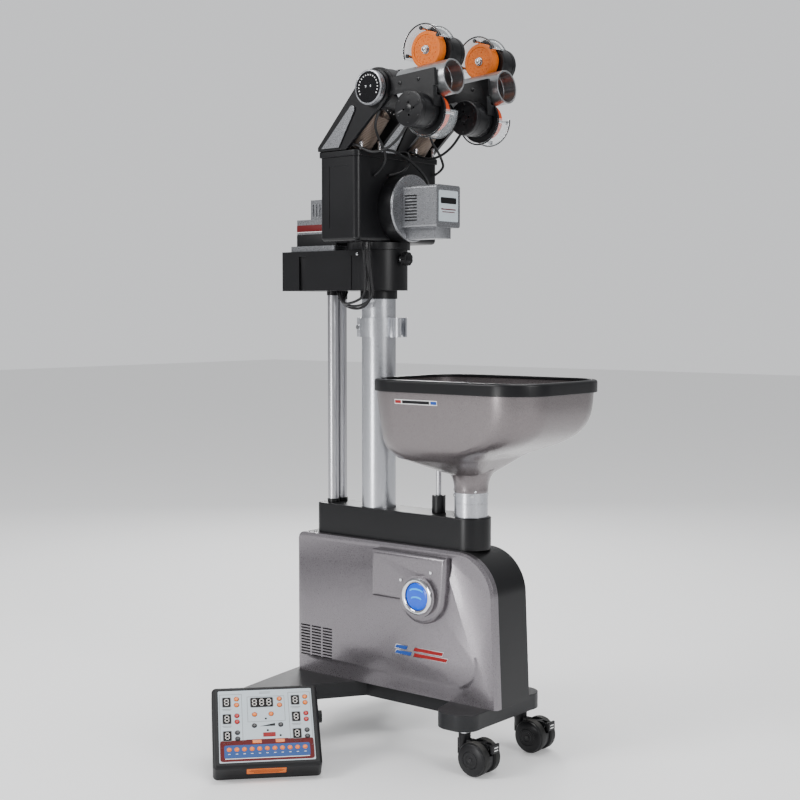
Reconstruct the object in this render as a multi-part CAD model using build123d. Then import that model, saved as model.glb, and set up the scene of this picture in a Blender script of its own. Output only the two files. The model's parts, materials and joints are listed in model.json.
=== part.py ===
from build123d import *
import math
import os

# Table tennis ball machine with two launcher heads on one post.
# Working frame: post axis at X = Y = 0, floor at Z = 0, +X is the shooting direction, +Z is up.
# The finished parts are shifted so that the origin is the centre of the box's underside.

BALL_R = 20.0
BORE_R = 22.0          # every passage lets a 40 mm ball through
RUN_GAP = 0.05         # radial clearance of a running shaft

# casters
WHEEL_R = 25.0
WHEEL_W = 17.0
HOOD_W = 11.0
TRAIL = 26.0
AXLE_R = 4.0
STEM_R = 5.0
WEB_R = 22.0
PEDAL_REACH = 17.0     # from the wheels' axle to the pedal's pin
PEDAL_Z = 43.0
PIN_R = 1.5
HOOD_TOP = 56.0
FRAME_BOTTOM = 63.0
RIGHT_STEM = (223.0, 72.0)
LEFT_STEM = (-86.0, 211.0)

# foot frame and body
FRAME_TOP = 87.0
BODY_LEFT = -135.0
BODY_TOP = 311.5
BODY_HALF = 45.0
SHELL_SPLIT_Y = -31.0
SHELL_T = 3.0
PLINTH_TOP = 359.5
PLINTH_LEFT = -109.0
PLINTH_HALF = 30.0
PANEL_T = 3.2
PANEL_SLOPE = 64.0      # lean of the raised field's edges, from straight out
SWITCH_C = (130.0, 242.0)
SWITCH_T = 12.0
BUTTON_R = 21.0
RING_R = 27.5
BUTTON_STEM_R = 5.0
BUTTON_TRAVEL = 2.5
BUTTON_STEM_END = -34.0
FEED_C = (-53.0, 230.0)     # feed wheel, inside the body

# posts
POST_R = 26.5
SIDE_TUBE_R = 8.5
SIDE_TUBES = ((-87.0, -10.0), (-87.0, 10.0))
PLATFORM_BOTTOM = 697.0
PLATFORM_TOP = 759.0
PLATFORM_LEFT = -167.0
COLLAR_R = 45.0
CLIP_X = 42.0
CLIP_R = 9.0
CLIP_Z = (625.0, 655.0)
KNOB_Z = 745.0

# hopper
NECK_X = 180.0
NECK_R = 25.0
NECK_TOP = 420.0
ROD_X = 119.0
RIM_BOTTOM = 548.0
RIM_TOP = 566.0

# turret
HOUSING_X = (-36.0, 40.0)
HOUSING_Y = 97.0
HOUSING_BOTTOM = 770.0
HOUSING_TOP = 896.0
LID_TOP = 905.0
DRIVE_Z = 821.5
DRIVE_R = 51.2
DRIVE_SEAM = 66.0
DRIVE_FACE = 69.0
DRIVE_END = 136.0

# launcher heads
HEAD_Y = (("near", -65.0), ("far", 65.0))
PIVOT = (75.0, 990.0)
PITCH = 4.5            # degrees above level at rest
HEAD_REACH = 78.0      # from tilt axis to the wheels' plane
MUZZLE = 121.0
MUZZLE_STEP = 21.0      # length of the wider end of the bore
MUZZLE_BORE_R = 22.5
WHEEL_OFFSET = 45.0    # launch wheel centre above or below the tube axis
LAUNCH_R = 27.0
LAUNCH_W = 16.0
TUBE_R = 25.0
DRUM_R = 31.0
DRUM_FLANGE_R = 34.0
DRUM_HALF = 29.0
MOTOR_R = 25.5
GUARD_R = 36.5
GUARD_T = 2.5
GUARD_OPEN = 13.0       # from the wheel's plane to the guard's open edge
GUARD_CLOSED = 16.0     # and to its edge on the motor's side
PLATE_Y = 9.48          # and to the motor plate
PLATE_R = 32.8
SPRING_R = 23.5
SPRING_FOOT_X = 2.0
LEAD_R = 2.0
TRUNNION_R = 8.0
TILT_MOTOR_R = 29.0
TILT_MOTOR_LENGTH = 38.0

# control console
CONSOLE_W = 155.0
CONSOLE_D = 134.0
CONSOLE_T = 32.0
CONSOLE_TILT = 42.0
CONSOLE_YAW = 47.8
CONSOLE_FOOT = (26.0, -278.0)

nodes = {}


def box(x, y, z):
    """Box between two limits on each axis."""
    centre = ((x[0] + x[1]) / 2, (y[0] + y[1]) / 2, (z[0] + z[1]) / 2)
    return Pos(*centre) * Box(abs(x[1] - x[0]), abs(y[1] - y[0]), abs(z[1] - z[0]))


def rod(start, end, radius):
    """Round bar from one point to another."""
    axis = Vector(*end) - Vector(*start)
    plane = Plane(origin=start, z_dir=axis)
    return extrude(plane * Circle(radius), axis.length)


def disc_y(x, z, y0, y1, radius):
    """Disc or bar along Y between two limits."""
    return rod((x, y0, z), (x, y1, z), radius)


def tube(start, end, outer, inner):
    """Hollow round bar."""
    return rod(start, end, outer) - rod(start, end, inner)


def round_box(x, y, z, radius):
    """Box with rounded upright edges."""
    plane = Plane.XY.offset(z[0])
    centre = ((x[0] + x[1]) / 2, (y[0] + y[1]) / 2)
    outline = Pos(*centre) * RectangleRounded(x[1] - x[0], y[1] - y[0], radius)
    return extrude(plane * outline, z[1] - z[0])


def mirror_y(shape):
    return mirror(shape, about=Plane.XZ)


def hull_of(*sketches):
    """Convex outline round several flat shapes."""
    return make_hull([edge for sketch in sketches for edge in sketch.edges()])


def slot_prism(x, half, z, radius_left):
    """Upright block with a half-round right end and rounded left corners."""
    block = round_box((x[0], x[1]), (-half, half), z, radius_left)
    square = box((x[1] - half, x[1]), (-half, half), z)
    nose = rod((x[1] - half, 0, z[0]), (x[1] - half, 0, z[1]), half)
    return block - square + nose


# ---------------------------------------------------------------- casters

def caster_hood(x, y):
    """Swivelling centre body between the two wheels, with its stem and the ears of the brake pedal."""
    wheel_x = x + TRAIL
    half = HOOD_W / 2
    web = disc_y(wheel_x, WHEEL_R, y - half, y + half, WEB_R)
    neck = box((x - 9, x + 15), (y - half, y + half), (WHEEL_R, HOOD_TOP - 8))
    ears = box((wheel_x + 4, wheel_x + 20), (y - half, y + half), (PEDAL_Z - 5, PEDAL_Z + 5))
    ears = fillet([e for e in ears.edges() if abs((e % 0.5).Y) > 0.9 and e.center().X > wheel_x + 10], 3.0)
    collar = rod((x, y, HOOD_TOP - 22), (x, y, HOOD_TOP), 9.0)
    stem = rod((x, y, HOOD_TOP), (x, y, FRAME_TOP - 6), STEM_R)
    for side in (-1, 1):
        collar -= disc_y(wheel_x, WHEEL_R, y + side * half, y + side * 40, WHEEL_R + 1)
    hood = web + neck + ears + collar + stem
    hood -= disc_y(wheel_x, WHEEL_R, y - 9, y + 9, AXLE_R + RUN_GAP)
    hood -= disc_y(wheel_x + PEDAL_REACH, PEDAL_Z, y - 9, y + 9, PIN_R + RUN_GAP)
    return hood - box((wheel_x + 12, wheel_x + 30), (y - 3.2, y + 3.2), (PEDAL_Z - 13, PEDAL_Z + 17))


def caster_wheels(x, y):
    """Two wheels on one axle."""
    wheel_x = x + TRAIL
    result = disc_y(wheel_x, WHEEL_R, y - 20, y + 20, AXLE_R)
    for side in (-1, 1):
        inner = y + side * (HOOD_W / 2 + 0.6)
        outer = inner + side * WHEEL_W
        wheel = disc_y(wheel_x, WHEEL_R, inner, outer, WHEEL_R)
        rim = [e for e in wheel.edges() if e.geom_type == GeomType.CIRCLE and abs(e.center().Y - outer) < 0.1]
        result += fillet(rim, 3.0)
    return result


def caster_pedal(x, y):
    """Brake pedal at the trailing side, on a pin between the hood's ears."""
    pin_x = x + TRAIL + PEDAL_REACH
    arm = box((pin_x - 2.2, pin_x + 13), (y - 3, y + 3), (PEDAL_Z - 2, PEDAL_Z + 2))
    toe = box((pin_x + 9, pin_x + 13), (y - 8, y + 8), (PEDAL_Z - 7, PEDAL_Z + 6))
    toe = fillet([e for e in toe.edges() if abs((e % 0.5).Y) > 0.9], 1.2)
    pin = disc_y(pin_x, PEDAL_Z, y - HOOD_W / 2 + 0.1, y + HOOD_W / 2 - 0.1, PIN_R)
    return arm + toe + pin


# ---------------------------------------------------------------- foot frame and body

def frame_outline():
    """Plan of the foot frame: narrow middle, two lobes at the front end, two long splayed legs."""
    spine = Pos(60, 0) * Rectangle(350, 62)
    cross = Pos(220, 0) * Rectangle(54, 2 * RIGHT_STEM[1])
    plan = Sketch() + [spine, cross]
    for side in (-1, 1):
        lobe = [Pos(x, side * RIGHT_STEM[1]) * Circle(27) for x in (208, 221)]
        root = Pos(208, side * 30) * Circle(36)
        plan += hull_of(*lobe, root)
        tip = Pos(LEFT_STEM[0], side * LEFT_STEM[1]) * Circle(28)
        knee = Pos(-92, side * 100) * Circle(40)
        heel = Pos(-102, side * 20) * Circle(42)
        toe = Pos(-20, side * 18) * Circle(24)
        plan += hull_of(tip, knee)
        plan += hull_of(knee, heel, toe)
    heels = [Pos(-102, y) * Circle(42) for y in (-20, 20)]
    return plan + hull_of(*heels)


def base_frame():
    plan = frame_outline()
    plate = extrude(Plane.XY.offset(FRAME_BOTTOM) * plan, FRAME_TOP - FRAME_BOTTOM)
    for x, y in stem_places():
        plate -= rod((x, y, FRAME_BOTTOM - 1), (x, y, FRAME_TOP - 5), STEM_R + RUN_GAP)
    return plate


def stem_places():
    return [(c[0], s * c[1]) for c in (RIGHT_STEM, LEFT_STEM) for s in (-1, 1)]


def body_profile(inset):
    """Side outline of the body in XZ, moved inwards by inset."""
    left = BODY_LEFT
    top = BODY_TOP
    outline = Polyline(
        (left, FRAME_TOP),
        (left, top),
        (249.5, top),
        (259.5, FRAME_TOP),
        close=True,
    )
    face = make_face(outline)
    corners = face.vertices()
    face = fillet([v for v in corners if v.X > 200 and v.Y > 200], 66.0)
    face = fillet([v for v in face.vertices() if v.X < left + 1 and v.Y > 200], 12.0)
    if inset > 0:
        face = offset(face, -inset)
    return face


def body_block(y, inset):
    """Body outline extruded between two Y limits."""
    plane = Plane(origin=(0, y[1], 0), x_dir=(1, 0, 0), z_dir=(0, -1, 0))
    return extrude(plane * body_profile(inset), y[1] - y[0])


def front_shell():
    """Front cover with a raised panel, vent slots and the switch boss seat."""
    skin = body_block((-BODY_HALF, SHELL_SPLIT_Y), 0)
    edges = [e for e in skin.edges() if abs(e.center().Y + BODY_HALF) < 0.1]
    skin = chamfer([e for e in edges if e.center().Z > FRAME_TOP + 1], 4.0)
    hollow = body_block((-BODY_HALF + SHELL_T, SHELL_SPLIT_Y + 1), SHELL_T)
    shell = skin - hollow + raised_panel()
    shell -= vent_slots(-BODY_HALF - PANEL_T - 1, -BODY_HALF + SHELL_T + 1)
    bore = rod((SWITCH_C[0], -60, SWITCH_C[1]), (SWITCH_C[0], -30, SWITCH_C[1]), 12.0)
    return shell - bore


def raised_panel():
    """Flat raised field of the front cover, with a rounded lower right end."""
    plane = Plane(origin=(0, -BODY_HALF + 0.5, 0), x_dir=(1, 0, 0), z_dir=(0, -1, 0))
    left = Pos(-46, 190.5) * Rectangle(170, 167)
    stem = Pos(47, 205.5) * Rectangle(26, 197)
    field = left + hull_of(stem, Pos(187, 148) * Circle(42), Pos(165, 295) * Circle(9))
    return extrude(plane * field, PANEL_T + 0.5, taper=PANEL_SLOPE)


def vent_slots(y0, y1):
    slots = []
    for column in range(3):
        for row in range(11):
            x = -124 + column * 23.5
            z = 114 + row * 4.7
            slots.append(box((x, x + 20), (y0, y1), (z, z + 2.2)))
    return Compound(slots)


def rear_shell():
    """Rear cover, deeper than the front one."""
    skin = body_block((SHELL_SPLIT_Y, BODY_HALF), 0)
    edges = [e for e in skin.edges() if abs(e.center().Y - BODY_HALF) < 0.1]
    skin = chamfer([e for e in edges if e.center().Z > FRAME_TOP + 1], 5.0)
    hollow = body_block((SHELL_SPLIT_Y - 1, BODY_HALF - SHELL_T), SHELL_T)
    shell = skin - hollow
    shell -= rod((NECK_X, 0, BODY_TOP - 20), (NECK_X, 0, BODY_TOP + 5), BORE_R)
    shell -= rod((0, 0, BODY_TOP - 20), (0, 0, BODY_TOP + 5), POST_R + 0.05)
    for x, y in SIDE_TUBES:
        shell -= rod((x, y, BODY_TOP - 20), (x, y, BODY_TOP + 5), SIDE_TUBE_R + 0.05)
    return shell


def plinth():
    """Black cap that carries the posts and the hopper neck."""
    right = NECK_X + PLINTH_HALF
    block = slot_prism((PLINTH_LEFT, right), PLINTH_HALF, (BODY_TOP, PLINTH_TOP), 14.0)
    top = [e for e in block.edges() if e.center().Z > PLINTH_TOP - 0.1]
    block = fillet(top, 2.0)
    block -= rod((NECK_X, 0, BODY_TOP - 1), (NECK_X, 0, PLINTH_TOP + 1), BORE_R)
    block -= rod((0, 0, BODY_TOP - 1), (0, 0, PLINTH_TOP + 1), POST_R + 0.05)
    for x, y in SIDE_TUBES:
        block -= rod((x, y, BODY_TOP - 1), (x, y, PLINTH_TOP + 1), SIDE_TUBE_R + 0.05)
    return block


def switch_boss():
    """Bulge on the front shell, with the chrome ring that holds the round button."""
    x, z = SWITCH_C
    base_y = -BODY_HALF - PANEL_T
    front = Plane(origin=(0, base_y, 0), x_dir=(1, 0, 0), z_dir=(0, -1, 0))
    left = Pos(40, 266.5) * Rectangle(12, 73)
    right = Pos(171, 296) * Rectangle(12, 14)
    lobe = Pos(x, z) * Circle(43)
    outline = hull_of(left, right, Pos(x + 20, 255) * Circle(25)) + hull_of(lobe, right)
    shape = extrude(front * outline, SWITCH_T)
    rim = [e for e in shape.edges() if e.center().Y < base_y - SWITCH_T + 0.1]
    shape = fillet(rim, 7.0)
    face_y = base_y - SWITCH_T
    shape += rod((x, face_y + 3, z), (x, face_y - 6, z), RING_R + 4)
    shape -= rod((x, face_y - 12, z), (x, face_y + 5, z), RING_R)
    shape -= rod((x, -70, z), (x, -40, z), BUTTON_STEM_R + RUN_GAP)
    ring = tube((x, face_y - 9, z), (x, face_y + 5, z), RING_R, BUTTON_R + RUN_GAP)
    lip = [e for e in ring.edges() if abs(e.center().Y - face_y + 9) < 0.1]
    return Compound([shape, fillet(lip, 1.5)])


def power_button():
    x, z = SWITCH_C
    face_y = -BODY_HALF - PANEL_T - SWITCH_T
    cap = rod((x, face_y - 8, z), (x, face_y + 1, z), BUTTON_R)
    edge = [e for e in cap.edges() if abs(e.center().Y - face_y + 8) < 0.1]
    cap = fillet(edge, 2.0)
    return cap + rod((x, face_y, z), (x, BUTTON_STEM_END, z), BUTTON_STEM_R)


# ---------------------------------------------------------------- inside the body

def ball_channel():
    """U-shaped tube from under the hopper neck to the foot of the post."""
    low = 120.0
    bend = 60.0
    path = FilletPolyline(
        (NECK_X, 0, 302),
        (NECK_X, 0, low),
        (0, 0, low),
        (0, 0, 300),
        radius=bend,
    )
    start = Plane(origin=path @ 0, z_dir=path % 0)
    outer = sweep(start * Circle(TUBE_R), path=path)
    inner = sweep(start * Circle(BORE_R), path=path)
    window = box((-60, -15), (-9, 9), (185, 275))
    return outer - inner - window


def feed_wheel():
    """Rubber wheel that pushes the balls up the post."""
    x, z = FEED_C
    wheel = rod((x, -7, z), (x, 7, z), 35.0)
    shaft = rod((x, -14, z), (x, 24, z), 4.0)
    hub = rod((x, -11, z), (x, 11, z), 10.0)
    return wheel + hub + shaft


def feed_motor():
    x, z = FEED_C
    body = rod((x, 13, z), (x, BODY_HALF - SHELL_T - 0.02, z), 22.0)
    return body - rod((x, 12, z), (x, 25, z), 4.0 + RUN_GAP)


def power_supply():
    body = box((40, 138), (-24, BODY_HALF - SHELL_T - 0.02), (170, 285))
    fins = [box((44 + i * 10, 47 + i * 10), (-30, -24), (180, 275)) for i in range(9)]
    return body + fins


# ---------------------------------------------------------------- posts and hopper


def main_post():
    return tube((0, 0, 300.5), (0, 0, HOUSING_BOTTOM + 6), POST_R, BORE_R + 1.0)


def side_tubes():
    """Two slim steel tubes beside the post, and the rod that steadies the tub."""
    top = PLATFORM_BOTTOM + 10
    tubes = [tube((x, y, BODY_TOP - 8), (x, y, top), SIDE_TUBE_R, 6.5) for x, y in SIDE_TUBES]
    pin = rod((ROD_X, 0, PLINTH_TOP), (ROD_X, 0, 470), 4.0)
    return Compound(tubes + [pin - hopper_solid(-0.02, NECK_TOP)])


def bushings():
    """Black collars of the side tubes and the bush that holds the tub's steel rod."""
    rings = [tube((ROD_X, 0, PLINTH_TOP), (ROD_X, 0, PLINTH_TOP + 27), 10.5, 4.02)]
    for x, y in SIDE_TUBES:
        low = PLATFORM_BOTTOM - (13 if y > 0 else 7)
        rings.append(tube((x, y, low), (x, y, PLATFORM_BOTTOM), 9.8, SIDE_TUBE_R + 0.02))
        rings.append(tube((x, y, PLINTH_TOP), (x, y, PLINTH_TOP + 6), 9.8, SIDE_TUBE_R + 0.02))
    return Compound(rings)


def post_clip():
    """Strap round the post with a spring clip for a net pole or hose."""
    low, high = CLIP_Z
    strap = tube((0, 0, low), (0, 0, high), POST_R + 3.0, POST_R + 0.02)
    ears = box((-41, -POST_R - 1), (-5.0, 5.0), (low, high)) - box((-45, -POST_R), (-0.8, 0.8), (low, high))
    clip = tube((CLIP_X, 0, low), (CLIP_X, 0, high), CLIP_R + 2.4, CLIP_R)
    far = CLIP_X + 40
    mouth = hull_of(Pos(CLIP_X, 0) * Circle(1), Pos(far, -26) * Circle(1), Pos(far, 26) * Circle(1))
    clip -= extrude(Plane.XY.offset(low - 1) * mouth, high - low + 2)
    inside = rod((0, 0, low - 1), (0, 0, high + 1), POST_R + 1.0)
    hole = rod((CLIP_X, 0, low - 1), (CLIP_X, 0, high + 1), CLIP_R)
    bridge = box((POST_R, CLIP_X - CLIP_R), (-7, 7), (low, high))
    return strap + (ears - inside) + clip + (bridge - inside - hole)


def fixed_screws():
    """Screws of the standing parts: strap, hopper neck and switch boss."""
    mid = (CLIP_Z[0] + CLIP_Z[1]) / 2
    screws = [rod((-36, -9, mid), (-36, -5, mid), 4.0), rod((-36, 5, mid), (-36, 9, mid), 4.0)]
    for angle in (-50, 50, 130, 230):
        c, s = math.cos(math.radians(angle)), math.sin(math.radians(angle))
        start = (NECK_X + c * NECK_R, s * NECK_R, 392)
        end = (NECK_X + c * (NECK_R + 1.5), s * (NECK_R + 1.5), 392)
        head = rod(start, end, 2.6)
        screws.append(head - rod((NECK_X, 0, 380), (NECK_X, 0, 404), NECK_R))
    face_y = -BODY_HALF - PANEL_T - SWITCH_T
    for x, z in ((94.0, 262.0), (151.0, 279.0)):
        screws.append(rod((x, face_y - 1.5, z), (x, face_y, z), 2.4))
    return Compound(screws)


def platform():
    """Head block on the posts, with the collar that the turret turns on."""
    block = round_box((PLATFORM_LEFT, 0), (-COLLAR_R, COLLAR_R), (PLATFORM_BOTTOM, PLATFORM_TOP), 4.0)
    collar = rod((0, 0, PLATFORM_BOTTOM), (0, 0, PLATFORM_TOP), COLLAR_R)
    skirt = rod((0, 0, 684), (0, 0, PLATFORM_BOTTOM), POST_R + 2.5)
    body = block + collar + skirt
    for side in (-1, 1):
        body -= box((-128, -113), (side * 41, side * 46), (PLATFORM_BOTTOM - 1, PLATFORM_TOP - 8))
        body += box((-113, -17), (side * 44, side * 46.2), (PLATFORM_BOTTOM, PLATFORM_TOP - 9))
    body -= rod((0, 0, 680), (0, 0, PLATFORM_TOP + 1), POST_R + 0.02)
    for x, y in SIDE_TUBES:
        body -= rod((x, y, PLATFORM_BOTTOM - 1), (x, y, PLATFORM_BOTTOM + 10.05), SIDE_TUBE_R + 0.02)
    body -= rod((POST_R - 2, 0, KNOB_Z), (COLLAR_R + 5, 0, KNOB_Z), 4.0 + RUN_GAP)
    return body


def clamp_knob():
    """Hand screw that locks the turret."""
    shaft = rod((POST_R + 0.6, 0, KNOB_Z), (COLLAR_R + 8, 0, KNOB_Z), 4.0)
    grip = rod((COLLAR_R + 7, 0, KNOB_Z), (COLLAR_R + 15, 0, KNOB_Z), 10.5)
    notch = [
        Pos(COLLAR_R + 11, 11.6 * math.cos(math.radians(a)), KNOB_Z + 11.6 * math.sin(math.radians(a)))
        * Rot(0, 90, 0) * Cylinder(2.0, 10)
        for a in range(0, 360, 45)
    ]
    return shaft + (grip - notch)


def sweep_motor():
    """Motor unit on the platform that swings the turret."""
    plate = round_box((-158, -62), (-34, 34), (PLATFORM_TOP, PLATFORM_TOP + 9), 5.0)
    base = round_box((-149, -62), (-29, 29), (PLATFORM_TOP + 9, 810), 4.0)
    cap = round_box((-124, -66), (-24, 24), (810, 841), 5.0)
    slots = [box((-117 + i * 7, -114 + i * 7), (side * 22.5, side * 25), (815, 834))
             for i in range(6) for side in (-1, 1)]
    return plate + base + (cap - slots)


def hopper_section(z, x0, x1, half, radius):
    plane = Plane.XY.offset(z)
    return plane * Pos((x0 + x1) / 2, 0) * RectangleRounded(x1 - x0, 2 * half, radius)


HOPPER_SECTIONS = (
    (RIM_TOP - 4, 56.0, 353.0, 110.0, 60.0),
    (530.0, 57.0, 350.0, 108.0, 60.0),
    (500.0, 60.0, 340.0, 104.0, 58.0),
    (468.0, 65.0, 288.0, 97.0, 54.0),
    (447.0, 78.0, 236.0, 78.0, 46.0),
)


def hopper_solid(inset, floor):
    """Tub outline lofted from the rim down, then drawn in to the neck."""
    sections = [
        hopper_section(z, x0 + inset, x1 - inset, half - inset, radius - inset)
        for z, x0, x1, half, radius in HOPPER_SECTIONS
    ]
    tub = loft(Sketch() + sections, ruled=False)
    z, x0, x1, half, radius = HOPPER_SECTIONS[-1]
    low = hopper_section(z, x0 + inset, x1 - inset, half - inset, radius - inset)
    throat = Plane.XY.offset(floor) * Pos(NECK_X, 0) * Circle(NECK_R - inset)
    return tub + loft(Sketch() + [low, throat])


def hopper():
    """Open tub for the balls, drawn down to a round throat off its centre."""
    outer = hopper_solid(0.0, NECK_TOP)
    inner = hopper_solid(SHELL_T, NECK_TOP)
    inner += rod((NECK_X, 0, NECK_TOP - 5), (NECK_X, 0, NECK_TOP + 12), BORE_R)
    top = hopper_section(RIM_TOP - 4, 59, 350, 107, 57)
    return outer - inner - extrude(top, 10)


def hopper_rim():
    """Black moulded lip on the tub's edge."""
    outer = extrude(hopper_section(RIM_BOTTOM, 53, 356, 113, 63), RIM_TOP - RIM_BOTTOM)
    top = [e for e in outer.edges() if abs(e.center().Z - RIM_TOP) < 0.1]
    outer = fillet(top, 4.0)
    groove = extrude(hopper_section(RIM_BOTTOM - 1, 55.5, 353.5, 110.5, 60.5), RIM_TOP - RIM_BOTTOM - 2.9)
    hole = extrude(hopper_section(RIM_BOTTOM - 1, 62, 347, 104, 54), 40)
    return outer - groove - hole


def hopper_neck():
    body = tube((NECK_X, 0, PLINTH_TOP), (NECK_X, 0, NECK_TOP), NECK_R, BORE_R)
    seam = tube((NECK_X, 0, 380), (NECK_X, 0, 380.8), NECK_R + 1, NECK_R - 0.6)
    return body - seam


# ---------------------------------------------------------------- turret

def turret_housing():
    """Black box that splits the balls between the two heads."""
    x, y = HOUSING_X, (-HOUSING_Y, HOUSING_Y)
    outer = round_box(x, y, (HOUSING_BOTTOM, HOUSING_TOP), 9.0)
    low = [e for e in outer.edges() if e.center().Z < HOUSING_BOTTOM + 0.1]
    outer = fillet(low, 6.0)
    inner = round_box((x[0] + 3, x[1] - 3), (y[0] + 3, y[1] - 3), (HOUSING_BOTTOM + 4, HOUSING_TOP + 1), 6.0)
    flange = rod((0, 0, PLATFORM_TOP + 0.3), (0, 0, HOUSING_BOTTOM), 49.0)
    spigot_room = rod((0, 0, PLATFORM_TOP), (0, 0, HOUSING_BOTTOM + 20), POST_R + RUN_GAP)
    shell = outer - inner + flange
    shell -= spigot_room
    relief = box((x[0] + 20, x[1] - 20), (-HOUSING_Y - 1, -HOUSING_Y + 0.8), (HOUSING_BOTTOM + 20, HOUSING_TOP - 14))
    shell -= relief + mirror_y(relief)
    boss = tube((x[1], 0, DRIVE_Z), (DRIVE_SEAM, 0, DRIVE_Z), DRIVE_R, 24.0)
    return shell + boss - rod((x[1] - 5, 0, DRIVE_Z), (x[1] + 2, 0, DRIVE_Z), 6.0)


def turret_lid():
    """Lid with a lip and a ball hole below each head."""
    x, y = HOUSING_X, HOUSING_Y
    lid = round_box((x[0] - 2.5, x[1] + 2.5), (-y - 2.5, y + 2.5), (HOUSING_TOP, LID_TOP), 10.0)
    top = [e for e in lid.edges() if e.center().Z > LID_TOP - 0.1]
    lid = fillet(top, 2.0)
    for _, head_y in HEAD_Y:
        lid -= rod((SPRING_FOOT_X, head_y, HOUSING_TOP - 1), (SPRING_FOOT_X, head_y, LID_TOP + 1), 20.8)
    return lid


def arm_outline():
    """Side plate outline in XZ, from the lid up to the tilt axis."""
    foot = Pos(-6, LID_TOP + 3) * Rectangle(56, 6)
    eye = Pos(*PIVOT) * Circle(28.0)
    return hull_of(foot, eye)


def side_arms():
    """Two plates for each head, with bores for its trunnions, and their silver inlays."""
    plates = []
    for _, head_y in HEAD_Y:
        for side in (-1, 1):
            mid = head_y + side * (DRUM_HALF + 5)
            plane = Plane(origin=(0, mid + 3, 0), x_dir=(1, 0, 0), z_dir=(0, -1, 0))
            plate = extrude(plane * arm_outline(), 6.0)
            bore = rod((PIVOT[0], mid - 5, PIVOT[1]), (PIVOT[0], mid + 5, PIVOT[1]), TRUNNION_R + RUN_GAP)
            plates.append(plate - bore)
    return Compound(plates + arm_inlays() + tilt_motors())


def tilt_motors():
    """Motor can on the outer face of each head's second plate."""
    cans = []
    for _, head_y in HEAD_Y:
        y0 = head_y + DRUM_HALF + 8
        can = disc_y(PIVOT[0], PIVOT[1], y0, y0 + TILT_MOTOR_LENGTH, TILT_MOTOR_R)
        rim = [e for e in can.edges() if abs(e.center().Y - y0 - TILT_MOTOR_LENGTH) < 0.1]
        cans.append(fillet(rim, 2.0) - disc_y(PIVOT[0], PIVOT[1], y0 - 1, y0 + 1, TRUNNION_R + RUN_GAP))
    return cans


def arm_inlays():
    """Silver wedge on the outer face of each head's first plate."""
    inlays = []
    for _, head_y in HEAD_Y:
        face_y = head_y - DRUM_HALF - 8
        plane = Plane(origin=(0, face_y, 0), x_dir=(1, 0, 0), z_dir=(0, -1, 0))
        foot = Pos(-7, LID_TOP + 6) * Rectangle(34, 4)
        tip = Pos(36, 962) * Circle(5.0)
        inlays.append(extrude(plane * hull_of(foot, tip), 1.2))
    return inlays


def feed_spring(head_y):
    """Close-wound steel guide from the lid up to a head's drum."""
    foot = Vector(SPRING_FOOT_X, head_y, LID_TOP)
    eye = Vector(PIVOT[0], head_y, PIVOT[1])
    along = (eye - foot).normalized()
    start = foot - along * 40
    body = tube(tuple(start), tuple(eye), SPRING_R, SPRING_R - 2.3)
    body -= box((-90, 90), (head_y - 40, head_y + 40), (800, LID_TOP + 0.3))
    return body - rod((PIVOT[0], head_y - 40, PIVOT[1]), (PIVOT[0], head_y + 40, PIVOT[1]), DRUM_FLANGE_R + 0.8)


def turret_screws():
    """Pillar screws on the lid in front of each spring."""
    screws = []
    for _, head_y in HEAD_Y:
        for dy, height in ((-21, 12), (21, 16)):
            x, y = HOUSING_X[1] - 1.5, head_y + dy
            pillar = rod((x, y, LID_TOP), (x, y, LID_TOP + height), 2.6)
            screws.append(pillar + rod((x, y, LID_TOP + height - 4), (x, y, LID_TOP + height), 3.4))
    return Compound(screws)


def drive_cover():
    """Silver face of the drive with its motor box."""
    disc = rod((DRIVE_SEAM, 0, DRIVE_Z), (DRIVE_FACE, 0, DRIVE_Z), DRIVE_R)
    edge = [e for e in disc.edges() if abs(e.center().X - DRIVE_FACE) < 0.1]
    disc = fillet(edge, 2.0)
    motor_box = box((DRIVE_FACE - 1, DRIVE_END), (-29, 29), (790, 853))
    along = [e for e in motor_box.edges() if abs((e % 0.5).X) > 0.9]
    motor_box = fillet(along, 4.0)
    chin = box((DRIVE_FACE - 1, DRIVE_END - 9), (-18, 18), (774, 791))
    cover = disc + motor_box + chin
    slots = [box((76, 99), (side * 28, side * 30), (800 + i * 4.6, 802.2 + i * 4.6))
             for i in range(9) for side in (-1, 1)]
    room = rod((DRIVE_SEAM - 1, 0, DRIVE_Z), (DRIVE_END - 12, 0, DRIVE_Z), 24.0)
    return cover - slots - room


def divider():
    """Pocket wheel that sends the balls to the heads in turn."""
    wheel = rod((-12, 0, DRIVE_Z), (16, 0, DRIVE_Z), 40.0)
    for angle in (90, 210, 330):
        c, s = math.cos(math.radians(angle)), math.sin(math.radians(angle))
        wheel -= rod((-13, 42 * c, DRIVE_Z + 42 * s), (17, 42 * c, DRIVE_Z + 42 * s), 21.0)
    shaft = rod((10, 0, DRIVE_Z), (70, 0, DRIVE_Z), 4.0)
    return wheel + shaft


def divider_motor():
    body = rod((58, 0, DRIVE_Z), (DRIVE_END - 12.02, 0, DRIVE_Z), 23.9)
    return body - rod((57, 0, DRIVE_Z), (72, 0, DRIVE_Z), 4.0 + RUN_GAP)


# ---------------------------------------------------------------- launcher heads
# Heads are drawn level, with the tilt axis at the local origin and the tube along local +X,
# then turned up by PITCH and moved to their place.

def place_head(shape, head_y):
    return Pos(PIVOT[0], head_y, PIVOT[1]) * Rot(0, -PITCH, 0) * shape


def half_turn(shape):
    """Turns a head piece half a turn about the tube axis."""
    return Rot(180, 0, 0) * shape


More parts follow.
